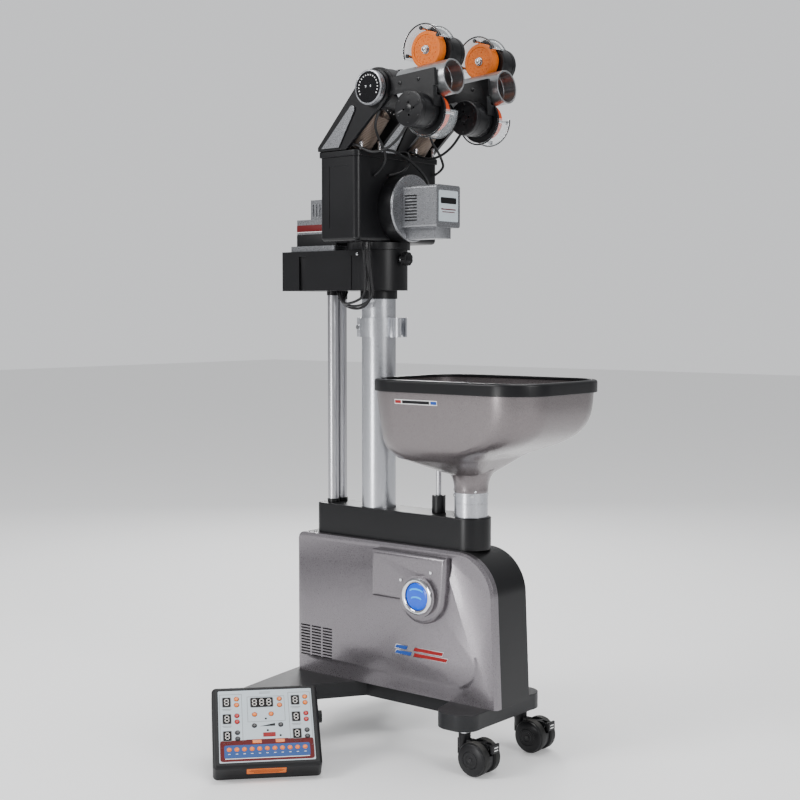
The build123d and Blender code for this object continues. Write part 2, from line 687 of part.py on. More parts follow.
def motor_mount():
    """Bracket bar, web and round plate for the lower motor."""
    x, z = HEAD_REACH, -WHEEL_OFFSET
    bar = box((0, 109), (-30.4, -25.1), (-14, 11))
    web = box((50, 105), (-30.4, -21.0), (-27, -14))
    shelf = box((50, 105), (-30.4, -9.5), (-42, -26))
    plate = disc_y(x, z, -13.5, -9.5, PLATE_R)
    part = bar + web + shelf + plate
    motor_room = disc_y(x, z, -60, -13.5, MOTOR_R + 0.02)
    wheel_room = disc_y(x, z, -9.5, 12, LAUNCH_R + 1)
    shaft_hole = disc_y(x, z, -20, 0, 6.0)
    tube_room = rod((20, 0, 0), (130, 0, 0), TUBE_R + 0.02)
    return part - motor_room - wheel_room - shaft_hole - tube_room


def head_frame():
    """Black casting: pivot drum with trunnions, and the two motor mounts."""
    drum = disc_y(0, 0, -DRUM_HALF, DRUM_HALF, DRUM_R)
    drum += disc_y(0, 0, DRUM_HALF - 6, DRUM_HALF, DRUM_FLANGE_R)
    drum -= rod((DRUM_R + 0.4, 0, 0), (DRUM_FLANGE_R + 5, 0, 0), TUBE_R + 0.1)
    trunnions = disc_y(0, 0, -DRUM_HALF - 9, -DRUM_HALF + 4, TRUNNION_R)
    trunnions += disc_y(0, 0, DRUM_HALF - 4, DRUM_HALF + 8, TRUNNION_R)
    mounts = motor_mount() + half_turn(motor_mount())
    hollow = disc_y(0, 0, -22.5, 22.5, DRUM_R - 4)
    front = rod((0, 0, 0), (40, 0, 0), BORE_R)
    hopper_side = extrude(
        Plane(origin=(0, 22.5, 0), x_dir=(1, 0, 0), z_dir=(0, -1, 0))
        * make_face(Polyline((0, 0), (-70, -8), (-50, -60), (18, -60), close=True)),
        45.0,
    )
    return drum + trunnions + mounts - hollow - front - hopper_side


def tilt_dial():
    """Graduated dial on the near trunnion."""
    y0 = -DRUM_HALF - 9
    dial = disc_y(0, 0, y0 - 10, y0, 25.5)
    face = [e for e in dial.edges() if abs(e.center().Y - y0 + 10) < 0.1]
    dial = fillet(face, 1.5)
    return dial - disc_y(0, 0, y0 - 11, y0 - 8.5, 22.5)


def ball_tube():
    """Aluminium muzzle tube with slots for the two launch wheels."""
    body = tube((DRUM_R + 0.5, 0, 0), (MUZZLE, 0, 0), TUBE_R, BORE_R)
    body -= rod((MUZZLE - MUZZLE_STEP, 0, 0), (MUZZLE + 1, 0, 0), MUZZLE_BORE_R)
    slot = box((HEAD_REACH - 22, HEAD_REACH + 22), (-9.2, 9.2), (10, 40))
    body -= slot
    return body - half_turn(slot)


def launch_motor():
    """Motor can with a bearing bore for the wheel's shaft."""
    x, z = HEAD_REACH, -WHEEL_OFFSET
    can = disc_y(x, z, -55, -17, MOTOR_R)
    rim = [e for e in can.edges() if abs(e.center().Y + 55) < 0.1]
    can = fillet(rim, 1.5) + disc_y(x, z, -17, -13.52, 21.0)
    can -= disc_y(x, z, -30, -13, 3.0 + RUN_GAP)
    for angle in range(0, 360, 90):
        c, s = math.cos(math.radians(angle)), math.sin(math.radians(angle))
        can -= disc_y(x + 9 * c, z + 9 * s, -56, -51, 1.6)
    return can


def launch_wheel():
    """Rubber-tyred wheel with its hub, nut and shaft."""
    x, z = HEAD_REACH, -WHEEL_OFFSET
    tyre = disc_y(x, z, -LAUNCH_W / 2, LAUNCH_W / 2, LAUNCH_R)
    dish = disc_y(x, z, LAUNCH_W / 2 - 2, LAUNCH_W / 2 + 1, 21.0)
    hub = disc_y(x, z, LAUNCH_W / 2 - 3, LAUNCH_W / 2, 10.0)
    plane = Plane(origin=(x, LAUNCH_W / 2 - 1, z), x_dir=(1, 0, 0), z_dir=(0, 1, 0))
    nut = extrude(plane * RegularPolygon(5.5, 6), 5.0)
    shaft = disc_y(x, z, -28, 0, 3.0)
    return tyre - dish + hub + nut + shaft


def guard(angle_from, angle_to, side):
    """Clear guard round a launch wheel; angles from local +X towards local +Z."""
    x, z = HEAD_REACH, -side * WHEEL_OFFSET
    a0, a1 = angle_from, angle_to
    open_y, motor_y = side * GUARD_OPEN, -side * GUARD_CLOSED
    ring = disc_y(x, z, open_y, motor_y, GUARD_R) - disc_y(x, z, -20, 20, GUARD_R - GUARD_T)
    reach = 2 * GUARD_R
    points = [(0, 0)]
    for i in range(5):
        a = math.radians(a0 + (a1 - a0) * i / 4)
        points.append((reach * math.cos(a), reach * math.sin(a)))
    plane = Plane(origin=(x, 20, z), x_dir=(1, 0, 0), z_dir=(0, -1, 0))
    return ring & extrude(plane * make_face(Polyline(*points, close=True)), 40)


def guard_posts(angles, side):
    """Stand-off posts between a motor plate and the guard's open edge."""
    x, z = HEAD_REACH, -side * WHEEL_OFFSET
    posts = []
    for angle in angles:
        a = math.radians(angle)
        px, pz = x + 31.0 * math.cos(a), z + 31.0 * math.sin(a)
        y0, y1 = -side * PLATE_Y, side * GUARD_OPEN
        posts.append(disc_y(px, pz, y0, y1, 2.3))
    return posts


def add_head(name, head_y):
    """Adds every node of one head."""
    upper = half_turn(launch_wheel())
    nodes[f"{name}_head_frame"] = place_head(head_frame(), head_y)
    nodes[f"{name}_ball_tube"] = place_head(ball_tube(), head_y)
    nodes[f"{name}_tilt_dial"] = place_head(tilt_dial(), head_y)
    motors = Compound([launch_motor(), half_turn(launch_motor())])
    nodes[f"{name}_launch_motors"] = place_head(motors, head_y)
    nodes[f"{name}_lower_wheel"] = place_head(launch_wheel(), head_y)
    nodes[f"{name}_upper_wheel"] = place_head(upper, head_y)
    guards = [guard(22, 195, -1), guard(-175, -3, 1)]
    posts = guard_posts((30, 95, 188), -1) + guard_posts((-10, -90, -168), 1)
    nodes[f"{name}_guards"] = place_head(Compound(guards + posts), head_y)


# ---------------------------------------------------------------- leads
# Every lead is clipped between two housings; its points are the corners of its route.

NEAR_LEADS = (
    ((80, -92.8, 958), (71, -92.8, 943), (61, -78, 928), (59, -57, 908), (54, -46, 884), (42, -60, 868)),
    ((6, -93.2, 907.6), (30, -93.2, 915), (50, -93.2, 904), (68, -90, 898), (92, -90, 902), (113, -91, 914),
     (127, -94, 926), (137.4, -100, 932.4)),
    ((26, -38, 907.6), (46, -30, 911), (52, 0, 900), (54, 24, 889), (56, 44, 874), (52, 60, 862), (42.5, 70, 856)),
    ((42, -26, 871), (47, -14, 873), (51, 0, 879), (52, 10, 889), (49, 17, 903), (38, 21, 911), (20, 16, 907.8)),
)
FAR_LEADS = (
    ((80, 37.2, 958), (71, 37.2, 943), (62, 52, 928), (60, 72, 914), (53, 92, 902), (54, 96, 888), (42.5, 84, 878)),
    ((6, 36.8, 907.6), (30, 36.8, 915), (50, 36.8, 904), (68, 40, 898), (92, 40, 902), (113, 39, 914),
     (127, 36, 926), (137.4, 30, 932.4)),
)
YAW_LEADS = (
    ((30, -58, 769), (32, -60, 745), (38, -62, 712), (40, -60, 688), (22, -62, 674), (-10, -58, 672),
     (-38, -46, 680), (-54, -30, 695)),
    ((24, -62, 769), (27, -66, 745), (32, -68, 712), (28, -66, 688), (4, -64, 678), (-26, -54, 676),
     (-42, -34, 684), (-48, -20, 695)),
    ((18, -58, 769), (22, -62, 745), (34, -64, 712), (34, -58, 684), (14, -56, 668), (-18, -52, 670),
     (-46, -38, 682), (-64, -24, 695)),
)


def corner_radii(points):
    """Arc radius at each corner of a route, as large as its runs allow."""
    radii = []
    for before, corner, after in zip(points, points[1:], points[2:]):
        first = Vector(*corner) - Vector(*before)
        second = Vector(*after) - Vector(*corner)
        half_angle = math.radians(first.get_angle(second)) / 2
        radii.append(0.45 * min(first.length, second.length) / math.tan(half_angle))
    return radii


def leads(name, routes):
    """Round leads along their routes."""
    result = []
    for route in routes:
        radii = corner_radii(route)
        path = FilletPolyline(*route, radius=radii)
        start = Plane(origin=path @ 0, z_dir=path % 0)
        result.append(sweep(start * Circle(LEAD_R), path=path))
        print(name, "lead", round(path.length, 1), "mm, arc radii", [round(r, 1) for r in radii])
    return Compound(result)


# ---------------------------------------------------------------- control console

def console_frame():
    """Console frame: local X along its width, local Y up its slope, local Z out of its face."""
    x, y = CONSOLE_FOOT
    return Pos(x, y, 0) * Rot(0, 0, CONSOLE_YAW) * Rot(CONSOLE_TILT, 0, 0)


def console_case():
    """Upper case of the hand console."""
    half = CONSOLE_W / 2
    case = round_box((-half, half), (0, CONSOLE_D), (9, CONSOLE_T), 7.0)
    top = [e for e in case.edges() if e.center().Z > CONSOLE_T - 0.1]
    case = fillet(top, 5.0)
    socket = Pos(half - 1, 86, 18) * Rot(0, 90, 0) * Cylinder(9, 12)
    seat = box((-half + 9, half - 9), (8, CONSOLE_D - 7), (CONSOLE_T - 0.8, CONSOLE_T + 1))
    return case + socket - seat


def console_back():
    half = CONSOLE_W / 2
    return round_box((-half, half), (0, CONSOLE_D), (0, 8.98), 7.0)


def console_panel():
    half = CONSOLE_W / 2
    return box((-half + 9.2, half - 9.2), (8.2, CONSOLE_D - 7.2), (CONSOLE_T - 0.8, CONSOLE_T + 0.4))


# ---------------------------------------------------------------- assembly

def add_casters():
    names = ("front_right", "back_right", "front_left", "back_left")
    for name, (x, y) in zip(names, stem_places()):
        nodes[f"{name}_caster_hood"] = caster_hood(x, y)
        nodes[f"{name}_caster_wheels"] = caster_wheels(x, y)
        nodes[f"{name}_brake_pedal"] = caster_pedal(x, y)


def add_body():
    nodes["base_frame"] = base_frame()
    nodes["front_shell"] = front_shell()
    nodes["rear_shell"] = rear_shell()
    nodes["plinth"] = plinth()
    nodes["switch_boss"] = switch_boss()
    nodes["power_button"] = power_button()
    nodes["ball_channel"] = ball_channel()
    nodes["feed_wheel"] = feed_wheel()
    nodes["feed_motor"] = feed_motor()
    nodes["power_supply"] = power_supply()


def add_posts_and_hopper():
    nodes["main_post"] = main_post()
    nodes["side_tubes"] = side_tubes()
    nodes["bushings"] = bushings()
    nodes["post_clip"] = post_clip()
    nodes["fixed_screws"] = fixed_screws()
    nodes["platform"] = platform()
    nodes["clamp_knob"] = clamp_knob()
    nodes["sweep_motor"] = sweep_motor()
    nodes["hopper"] = hopper()
    nodes["hopper_rim"] = hopper_rim()
    nodes["hopper_neck"] = hopper_neck()


def add_turret():
    nodes["turret_housing"] = turret_housing()
    nodes["turret_lid"] = turret_lid()
    nodes["side_arms"] = side_arms()
    nodes["feed_springs"] = Compound([feed_spring(head_y) for _, head_y in HEAD_Y])
    nodes["turret_screws"] = turret_screws()
    nodes["drive_cover"] = drive_cover()
    nodes["divider"] = divider()
    nodes["divider_motor"] = divider_motor()


def add_console():
    place = console_frame()
    nodes["console_case"] = place * Compound([console_case(), console_back()])
    nodes["console_panel"] = place * console_panel()


add_casters()
add_body()
add_posts_and_hopper()
add_turret()
for head_name, head_place in HEAD_Y:
    add_head(head_name, head_place)
add_console()
for lead_name, lead_routes in (("near", NEAR_LEADS), ("far", FAR_LEADS), ("yaw", YAW_LEADS)):
    nodes[f"{lead_name}_leads"] = leads(lead_name, lead_routes)

bounds = Compound([shape for node in nodes.values() for shape in node.solids()]).bounding_box()
origin = Vector((bounds.min.X + bounds.max.X) / 2, (bounds.min.Y + bounds.max.Y) / 2, bounds.min.Z)
os.makedirs("parts", exist_ok=True)
for node_name, node in nodes.items():
    placed = Compound([solid.moved(Location(-origin)) for solid in node.solids()])
    export_step(placed, f"parts/{node_name}.step")
print("origin of the row in the working frame", origin, "size", bounds.size, "nodes", len(nodes))
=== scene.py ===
"""Visual model of a wheeled table tennis ball machine with two launcher heads and a separate control console.

All places are in the row frame, in metres: +Z is up along the post, +X is the shooting direction, and the floor is
at Z = 0. Every piece is built in that frame and rides on the body that it belongs to.
"""
import json
import logging
import math
from dataclasses import dataclass, field
from enum import Enum
from typing import Callable, Iterable, Sequence

import bmesh
import bpy
from mathutils import Matrix, Vector
from mathutils.bvhtree import BVHTree


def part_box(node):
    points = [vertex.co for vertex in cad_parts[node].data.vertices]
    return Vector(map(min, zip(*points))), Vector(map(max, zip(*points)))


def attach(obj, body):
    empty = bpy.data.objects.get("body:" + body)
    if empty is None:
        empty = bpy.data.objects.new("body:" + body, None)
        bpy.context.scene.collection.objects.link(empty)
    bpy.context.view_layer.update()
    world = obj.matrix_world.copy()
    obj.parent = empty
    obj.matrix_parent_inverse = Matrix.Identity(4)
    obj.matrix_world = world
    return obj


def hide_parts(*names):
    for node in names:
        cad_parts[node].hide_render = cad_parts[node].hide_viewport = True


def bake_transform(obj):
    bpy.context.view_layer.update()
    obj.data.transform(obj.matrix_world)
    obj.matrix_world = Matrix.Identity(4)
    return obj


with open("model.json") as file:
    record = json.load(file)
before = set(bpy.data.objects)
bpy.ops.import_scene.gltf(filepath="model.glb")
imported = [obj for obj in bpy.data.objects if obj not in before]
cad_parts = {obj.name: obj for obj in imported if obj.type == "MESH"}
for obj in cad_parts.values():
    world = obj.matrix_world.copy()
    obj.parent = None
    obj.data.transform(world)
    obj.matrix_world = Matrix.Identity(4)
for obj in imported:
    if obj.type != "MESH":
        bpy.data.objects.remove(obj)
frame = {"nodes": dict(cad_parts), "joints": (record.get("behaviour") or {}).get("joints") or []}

LOG = logging.getLogger("ball_machine")
MM = 0.001
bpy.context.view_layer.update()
Point = tuple[float, float, float]
Pair = tuple[float, float]


# ---------------------------------------------------------------- shader groups

class GroupKind(Enum):
    """The shared surface effects."""

    GRAIN = "MouldedGrain"
    EDGE = "EdgeWear"
    DUST = "SettledDust"
    BRUSH = "BrushedLines"
    FLAKE = "PaintFlake"


class GroupLibrary:
    """Builds each shared shader node group once."""

    def __init__(self) -> None:
        """Starts with no groups."""
        self._made: dict[GroupKind, bpy.types.NodeTree] = {}

    def get(self, kind: GroupKind) -> bpy.types.NodeTree:
        """Gives a group, building it the first time.

        Args:
            kind: Which effect.

        Returns:
            The shader node tree of the effect.
        """
        if kind not in self._made:
            builders: dict[GroupKind, Callable[[], bpy.types.NodeTree]] = {
                GroupKind.GRAIN: self._grain,
                GroupKind.EDGE: self._edge,
                GroupKind.DUST: self._dust,
                GroupKind.BRUSH: self._brush,
                GroupKind.FLAKE: self._flake,
            }
            self._made[kind] = builders[kind]()
        return self._made[kind]

    @staticmethod
    def _tree(name: str, inputs: Sequence[tuple[str, str, float]], outputs: Sequence[str]) -> tuple:
        """Makes an empty group with its sockets.

        Args:
            name: Name of the group.
            inputs: Socket name, socket type and default of each input.
            outputs: Names of the float outputs.

        Returns:
            The tree, its input node and its output node.
        """
        tree = bpy.data.node_groups.new(name, "ShaderNodeTree")
        for label, kind, default in inputs:
            socket = tree.interface.new_socket(label, in_out="INPUT", socket_type=kind)
            if kind == "NodeSocketFloat":
                socket.default_value = default
        for label in outputs:
            tree.interface.new_socket(label, in_out="OUTPUT", socket_type="NodeSocketFloat")
        source = tree.nodes.new("NodeGroupInput")
        sink = tree.nodes.new("NodeGroupOutput")
        return tree, source, sink

    @staticmethod
    def _noise(tree: bpy.types.NodeTree, scale: float, detail: float) -> bpy.types.Node:
        """Adds a noise texture in object coordinates.

        Args:
            tree: The group's tree.
            scale: Scale of the noise.
            detail: Its detail.

        Returns:
            The noise node.
        """
        place = tree.nodes.new("ShaderNodeTexCoord")
        noise = tree.nodes.new("ShaderNodeTexNoise")
        noise.inputs["Scale"].default_value = scale
        noise.inputs["Detail"].default_value = detail
        tree.links.new(place.outputs["Object"], noise.inputs["Vector"])
        return noise

    @staticmethod
    def _range(
        tree: bpy.types.NodeTree, value: bpy.types.NodeSocket, low: float, high: float
    ) -> bpy.types.NodeSocket:
        """Maps a value onto 0 to 1.

        Args:
            tree: The group's tree.
            value: The value.
            low: What becomes 0.
            high: What becomes 1.

        Returns:
            The mapped value.
        """
        mapped = tree.nodes.new("ShaderNodeMapRange")
        mapped.inputs["From Min"].default_value = low
        mapped.inputs["From Max"].default_value = high
        tree.links.new(value, mapped.inputs["Value"])
        return mapped.outputs["Result"]

    @staticmethod
    def _product(
        tree: bpy.types.NodeTree, first: bpy.types.NodeSocket, second: bpy.types.NodeSocket
    ) -> bpy.types.NodeSocket:
        """Multiplies two values.

        Args:
            tree: The group's tree.
            first: One value.
            second: The other.

        Returns:
            Their product.
        """
        node = tree.nodes.new("ShaderNodeMath")
        node.operation = "MULTIPLY"
        tree.links.new(first, node.inputs[0])
        tree.links.new(second, node.inputs[1])
        return node.outputs["Value"]

    def _grain(self) -> bpy.types.NodeTree:
        """Fine moulded grain with a slow change of tone."""
        tree, source, sink = self._tree("MouldedGrain", [("Scale", "NodeSocketFloat", 1500.0)], ["Height", "Tone"])
        fine = self._noise(tree, 5.0, 3.0)
        slow = self._noise(tree, 9.0, 4.0)
        tree.links.new(source.outputs["Scale"], fine.inputs["Scale"])
        tree.links.new(fine.outputs["Fac"], sink.inputs["Height"])
        tree.links.new(slow.outputs["Fac"], sink.inputs["Tone"])
        return tree

    def _edge(self) -> bpy.types.NodeTree:
        """Mask of rubbed edges, broken up by noise."""
        tree, source, sink = self._tree("EdgeWear", [("Amount", "NodeSocketFloat", 0.3)], ["Mask"])
        bevel = tree.nodes.new("ShaderNodeBevel")
        bevel.samples = 4
        bevel.inputs["Radius"].default_value = 0.9 * MM
        shape = tree.nodes.new("ShaderNodeNewGeometry")
        dot = tree.nodes.new("ShaderNodeVectorMath")
        dot.operation = "DOT_PRODUCT"
        tree.links.new(bevel.outputs["Normal"], dot.inputs[0])
        tree.links.new(shape.outputs["Normal"], dot.inputs[1])
        bend = self._range(tree, dot.outputs["Value"], 0.995, 0.9)
        broken = self._range(tree, self._noise(tree, 160.0, 5.0).outputs["Fac"], 0.45, 0.62)
        mask = self._product(tree, self._product(tree, bend, broken), source.outputs["Amount"])
        tree.links.new(mask, sink.inputs["Mask"])
        return tree

    def _dust(self) -> bpy.types.NodeTree:
        """Mask of thin dust on faces that look up."""
        tree, source, sink = self._tree("SettledDust", [("Amount", "NodeSocketFloat", 0.1)], ["Mask"])
        shape = tree.nodes.new("ShaderNodeNewGeometry")
        split = tree.nodes.new("ShaderNodeSeparateXYZ")
        tree.links.new(shape.outputs["Normal"], split.inputs["Vector"])
        upward = self._range(tree, split.outputs["Z"], 0.6, 1.0)
        patchy = self._noise(tree, 70.0, 6.0).outputs["Fac"]
        mask = self._product(tree, self._product(tree, upward, patchy), source.outputs["Amount"])
        tree.links.new(mask, sink.inputs["Mask"])
        return tree

    def _brush(self) -> bpy.types.NodeTree:
        """Fine lines drawn out along one direction."""
        tree, source, sink = self._tree("BrushedLines", [("Stretch", "NodeSocketVector", 0.0)], ["Height", "Tone"])
        place = tree.nodes.new("ShaderNodeTexCoord")
        pull = tree.nodes.new("ShaderNodeVectorMath")
        pull.operation = "MULTIPLY"
        lines = tree.nodes.new("ShaderNodeTexNoise")
        lines.inputs["Scale"].default_value = 1.0
        lines.inputs["Detail"].default_value = 4.0
        tree.links.new(place.outputs["Object"], pull.inputs[0])
        tree.links.new(source.outputs["Stretch"], pull.inputs[1])
        tree.links.new(pull.outputs["Vector"], lines.inputs["Vector"])
        tree.links.new(lines.outputs["Fac"], sink.inputs["Height"])
        tree.links.new(lines.outputs["Fac"], sink.inputs["Tone"])
        return tree

    def _flake(self) -> bpy.types.NodeTree:
        """Metal flakes in silver paint."""
        tree, source, sink = self._tree("PaintFlake", [("Scale", "NodeSocketFloat", 2600.0)], ["Height", "Tone"])
        place = tree.nodes.new("ShaderNodeTexCoord")
        cells = tree.nodes.new("ShaderNodeTexVoronoi")
        split = tree.nodes.new("ShaderNodeSeparateColor")
        tree.links.new(place.outputs["Object"], cells.inputs["Vector"])
        tree.links.new(source.outputs["Scale"], cells.inputs["Scale"])
        tree.links.new(cells.outputs["Color"], split.inputs["Color"])
        tree.links.new(cells.outputs["Distance"], sink.inputs["Height"])
        tree.links.new(split.outputs["Red"], sink.inputs["Tone"])
        return tree


GROUPS = GroupLibrary()


# ---------------------------------------------------------------- finishes

@dataclass(frozen=True)
class Finish:
    """One surface finish, made from the shared effects.

    Attributes:
        name: Name of the material.
        color: Base colour, linear.
        roughness: Roughness away from wear and dust.
        metallic: Metallic value.
        coat: Clear coat weight.
        texture: Which effect gives the height and the tone.
        scale: Scale of that effect, or lines per metre for brushed metal.
        depth: Strength of the bump.
        tone: How much the tone varies the colour.
        wear: Amount of edge wear.
        wear_color: Colour under the worn finish.
        dust: Amount of dust.
        alpha: Opacity.
        transmission: Transmission weight.
        glow: Emission strength in the base colour.
        along: Direction of brushed lines.
        shine: Specular level.
    """

    name: str
    color: Point
    roughness: float = 0.5
    metallic: float = 0.0
    coat: float = 0.0
    texture: GroupKind = GroupKind.GRAIN
    scale: float = 1500.0
    depth: float = 0.12
    tone: float = 0.18
    wear: float = 0.0
    wear_color: Point = (0.4, 0.4, 0.4)
    dust: float = 0.08
    alpha: float = 1.0
    transmission: float = 0.0
    glow: float = 0.0
    along: Point = (1.0, 0.0, 0.0)
    shine: float = 0.3

    def material(self) -> bpy.types.Material:
        """Gives the material of this finish, building it the first time.

        Returns:
            The Blender material.
        """
        name = f"finish_{self.name}"
        found = bpy.data.materials.get(name)
        if found is not None:
            return found
        mat = bpy.data.materials.new(name)
        mat.use_nodes = True
        tree = mat.node_tree
        shader = tree.nodes["Principled BSDF"]
        shader.inputs["Metallic"].default_value = self.metallic
        shader.inputs["Specular IOR Level"].default_value = self.shine
        shader.inputs["Coat Weight"].default_value = self.coat
        shader.inputs["Coat Roughness"].default_value = 0.08
        shader.inputs["Alpha"].default_value = self.alpha
        shader.inputs["Transmission Weight"].default_value = self.transmission
        surface = self._texture_node(tree)
        color = self._tinted(tree, surface.outputs["Tone"])
        color = self._layered(tree, color, GroupKind.EDGE, self.wear, self.wear_color)
        color = self._layered(tree, color, GroupKind.DUST, self.dust, (0.42, 0.4, 0.37))
        tree.links.new(color, shader.inputs["Base Color"])
        rough = tree.nodes.new("ShaderNodeMapRange")
        rough.inputs["To Min"].default_value = max(0.02, self.roughness - 0.06)
        rough.inputs["To Max"].default_value = min(1.0, self.roughness + 0.06)
        tree.links.new(surface.outputs["Tone"], rough.inputs["Value"])
        tree.links.new(rough.outputs["Result"], shader.inputs["Roughness"])
        bump = tree.nodes.new("ShaderNodeBump")
        bump.inputs["Strength"].default_value = self.depth
        bump.inputs["Distance"].default_value = 0.3 * MM
        tree.links.new(surface.outputs["Height"], bump.inputs["Height"])
        tree.links.new(bump.outputs["Normal"], shader.inputs["Normal"])
        if self.glow > 0.0:
            tree.links.new(color, shader.inputs["Emission Color"])
            shader.inputs["Emission Strength"].default_value = self.glow
        return mat

    def _texture_node(self, tree: bpy.types.NodeTree) -> bpy.types.Node:
        """Places the effect that carries height and tone.

        Args:
            tree: The material's node tree.

        Returns:
            The group node.
        """
        node = tree.nodes.new("ShaderNodeGroup")
        node.node_tree = GROUPS.get(self.texture)
        if self.texture is GroupKind.BRUSH:
            slow, fast = 6.0, self.scale
            node.inputs["Stretch"].default_value = [slow if a > 0.5 else fast for a in self.along]
        else:
            node.inputs["Scale"].default_value = self.scale
        return node

    def _tinted(self, tree: bpy.types.NodeTree, tone: bpy.types.NodeSocket) -> bpy.types.NodeSocket:
        """Varies the base colour with the tone.

        Args:
            tree: The material's node tree.
            tone: Tone output of the texture group.

        Returns:
            The tinted colour.
        """
        mix = tree.nodes.new("ShaderNodeMix")
        mix.data_type = "RGBA"
        low = [c * (1.0 - self.tone) for c in self.color]
        high = [min(1.0, c * (1.0 + self.tone)) for c in self.color]
        mix.inputs["A"].default_value = (*low, 1.0)
        mix.inputs["B"].default_value = (*high, 1.0)
        tree.links.new(tone, mix.inputs["Factor"])
        return mix.outputs["Result"]

    def _layered(
        self, tree: bpy.types.NodeTree, color: bpy.types.NodeSocket, kind: GroupKind, amount: float, tint: Point
    ) -> bpy.types.NodeSocket:
        """Lays another colour over the finish where a mask says.

        Args:
            tree: The material's node tree.
            color: The colour so far.
            kind: Which mask to use.
            amount: Amount handed to the mask.
            tint: Colour of the layer.

        Returns:
            The colour with the layer on it.
        """
        if amount <= 0.0:
            return color
        mask = tree.nodes.new("ShaderNodeGroup")
        mask.node_tree = GROUPS.get(kind)
        mask.inputs["Amount"].default_value = amount
        mix = tree.nodes.new("ShaderNodeMix")
        mix.data_type = "RGBA"
        mix.inputs["B"].default_value = (*tint, 1.0)
        tree.links.new(mask.outputs["Mask"], mix.inputs["Factor"])
        tree.links.new(color, mix.inputs["A"])
        return mix.outputs["Result"]


FOOT_GREY = Finish(
    "foot_grey", (0.012, 0.0125, 0.014), 0.4, wear=0.2, wear_color=(0.08, 0.08, 0.08), dust=0.06,
)
BLACK_SATIN = Finish(
    "black_satin", (0.006, 0.006, 0.007), 0.33, wear=0.15, wear_color=(0.06, 0.06, 0.06), dust=0.03,
)
BLACK_GRAIN = Finish("black_grain", (0.008, 0.008, 0.009), 0.45, scale=900.0, depth=0.3, dust=0.04)
GLOSS_BLACK = Finish("gloss_black", (0.004, 0.004, 0.005), 0.14, coat=0.3, depth=0.03, dust=0.0)
SILVER_PAINT = Finish(
    "silver_paint", (0.2, 0.185, 0.2), 0.32, 0.75, coat=0.3, texture=GroupKind.FLAKE, depth=0.008, tone=0.1,
    wear=0.1, wear_color=(0.4, 0.4, 0.42), dust=0.03,
)
TUB_PAINT = Finish(
    "tub_paint", (0.17, 0.152, 0.155), 0.32, 0.75, coat=0.3, texture=GroupKind.FLAKE, depth=0.01,
    tone=0.1, dust=0.04,
)
POST_SILVER = Finish(
    "post_silver", (0.5, 0.51, 0.54), 0.3, 0.9, texture=GroupKind.FLAKE, scale=2600.0, depth=0.02, tone=0.16,
    dust=0.02,
)
DRIVE_SILVER = Finish(
    "drive_silver", (0.27, 0.275, 0.29), 0.3, 0.8, texture=GroupKind.FLAKE, depth=0.01, tone=0.08, wear=0.15,
    wear_color=(0.6, 0.6, 0.6),
)
HUB_STEEL = Finish("hub_steel", (0.36, 0.36, 0.37), 0.24, 1.0, depth=0.04, tone=0.1, dust=0.0)
CHROME = Finish("chrome", (0.72, 0.73, 0.75), 0.09, 1.0, depth=0.02, tone=0.05, dust=0.02)
BRUSHED_STEEL = Finish(
    "brushed_steel", (0.5, 0.5, 0.52), 0.3, 1.0, texture=GroupKind.BRUSH, scale=900.0,
    along=(0.0, 0.0, 1.0), dust=0.02,
)
TURNED_ALUMINIUM = Finish(
    "turned_aluminium", (0.42, 0.43, 0.44), 0.33, 0.95, texture=GroupKind.BRUSH, scale=700.0, depth=0.15,
    dust=0.02,
)
# Painted reflection: the warm brown tint stands for the brown room mirrored in the steel coils.
COIL_WIRE_REFLECTION = Finish(
    "coil_wire_reflection", (0.3, 0.24, 0.2), 0.32, 1.0, texture=GroupKind.BRUSH, scale=1200.0,
    along=(0.0, 1.0, 0.0), dust=0.0,
)
ORANGE_RUBBER = Finish("orange_rubber", (0.62, 0.13, 0.003), 0.55, scale=300.0, depth=0.9, tone=0.3, dust=0.0)
# Painted shade: a redder copy of the orange rubber, for the lower wheels that sit in shade.
SHADED_ORANGE_RUBBER = Finish("shaded_orange_rubber", (0.74, 0.075, 0.004), 0.5, scale=420.0, depth=0.5, tone=0.3, dust=0.0)
BLACK_RUBBER = Finish("black_rubber", (0.014, 0.014, 0.014), 0.6, scale=700.0, depth=0.3, dust=0.2)
MOTOR_BLACK = Finish(
    "motor_black", (0.006, 0.006, 0.007), 0.3, depth=0.06, wear=0.2, wear_color=(0.05, 0.05, 0.05), dust=0.02,
)
CAST_BLACK = Finish(
    "cast_black", (0.007, 0.007, 0.008), 0.4, scale=800.0, depth=0.3, wear=0.25,
    wear_color=(0.05, 0.05, 0.05), dust=0.03,
)
CLEAR_GUARD = Finish("clear_guard", (0.75, 0.8, 0.83), 0.06, depth=0.01, tone=0.02, dust=0.0, alpha=0.16)
LIT_BLUE = Finish(
    "lit_blue", (0.002, 0.075, 0.6), 0.2, coat=0.2, depth=0.0, tone=0.6, dust=0.0, glow=0.3, scale=160.0,
)
# Painted highlight: glowing pale blue for the reflection arcs on the power button's lens.
GLINT_BLUE = Finish("glint_blue", (0.02, 0.35, 0.85), 0.2, depth=0.0, dust=0.0, glow=0.4)
WHITE_INK = Finish("white_ink", (0.75, 0.75, 0.75), 0.5, depth=0.02, tone=0.04, dust=0.0)
GREY_INK = Finish("grey_ink", (0.2, 0.21, 0.22), 0.5, depth=0.02, tone=0.05, dust=0.0)
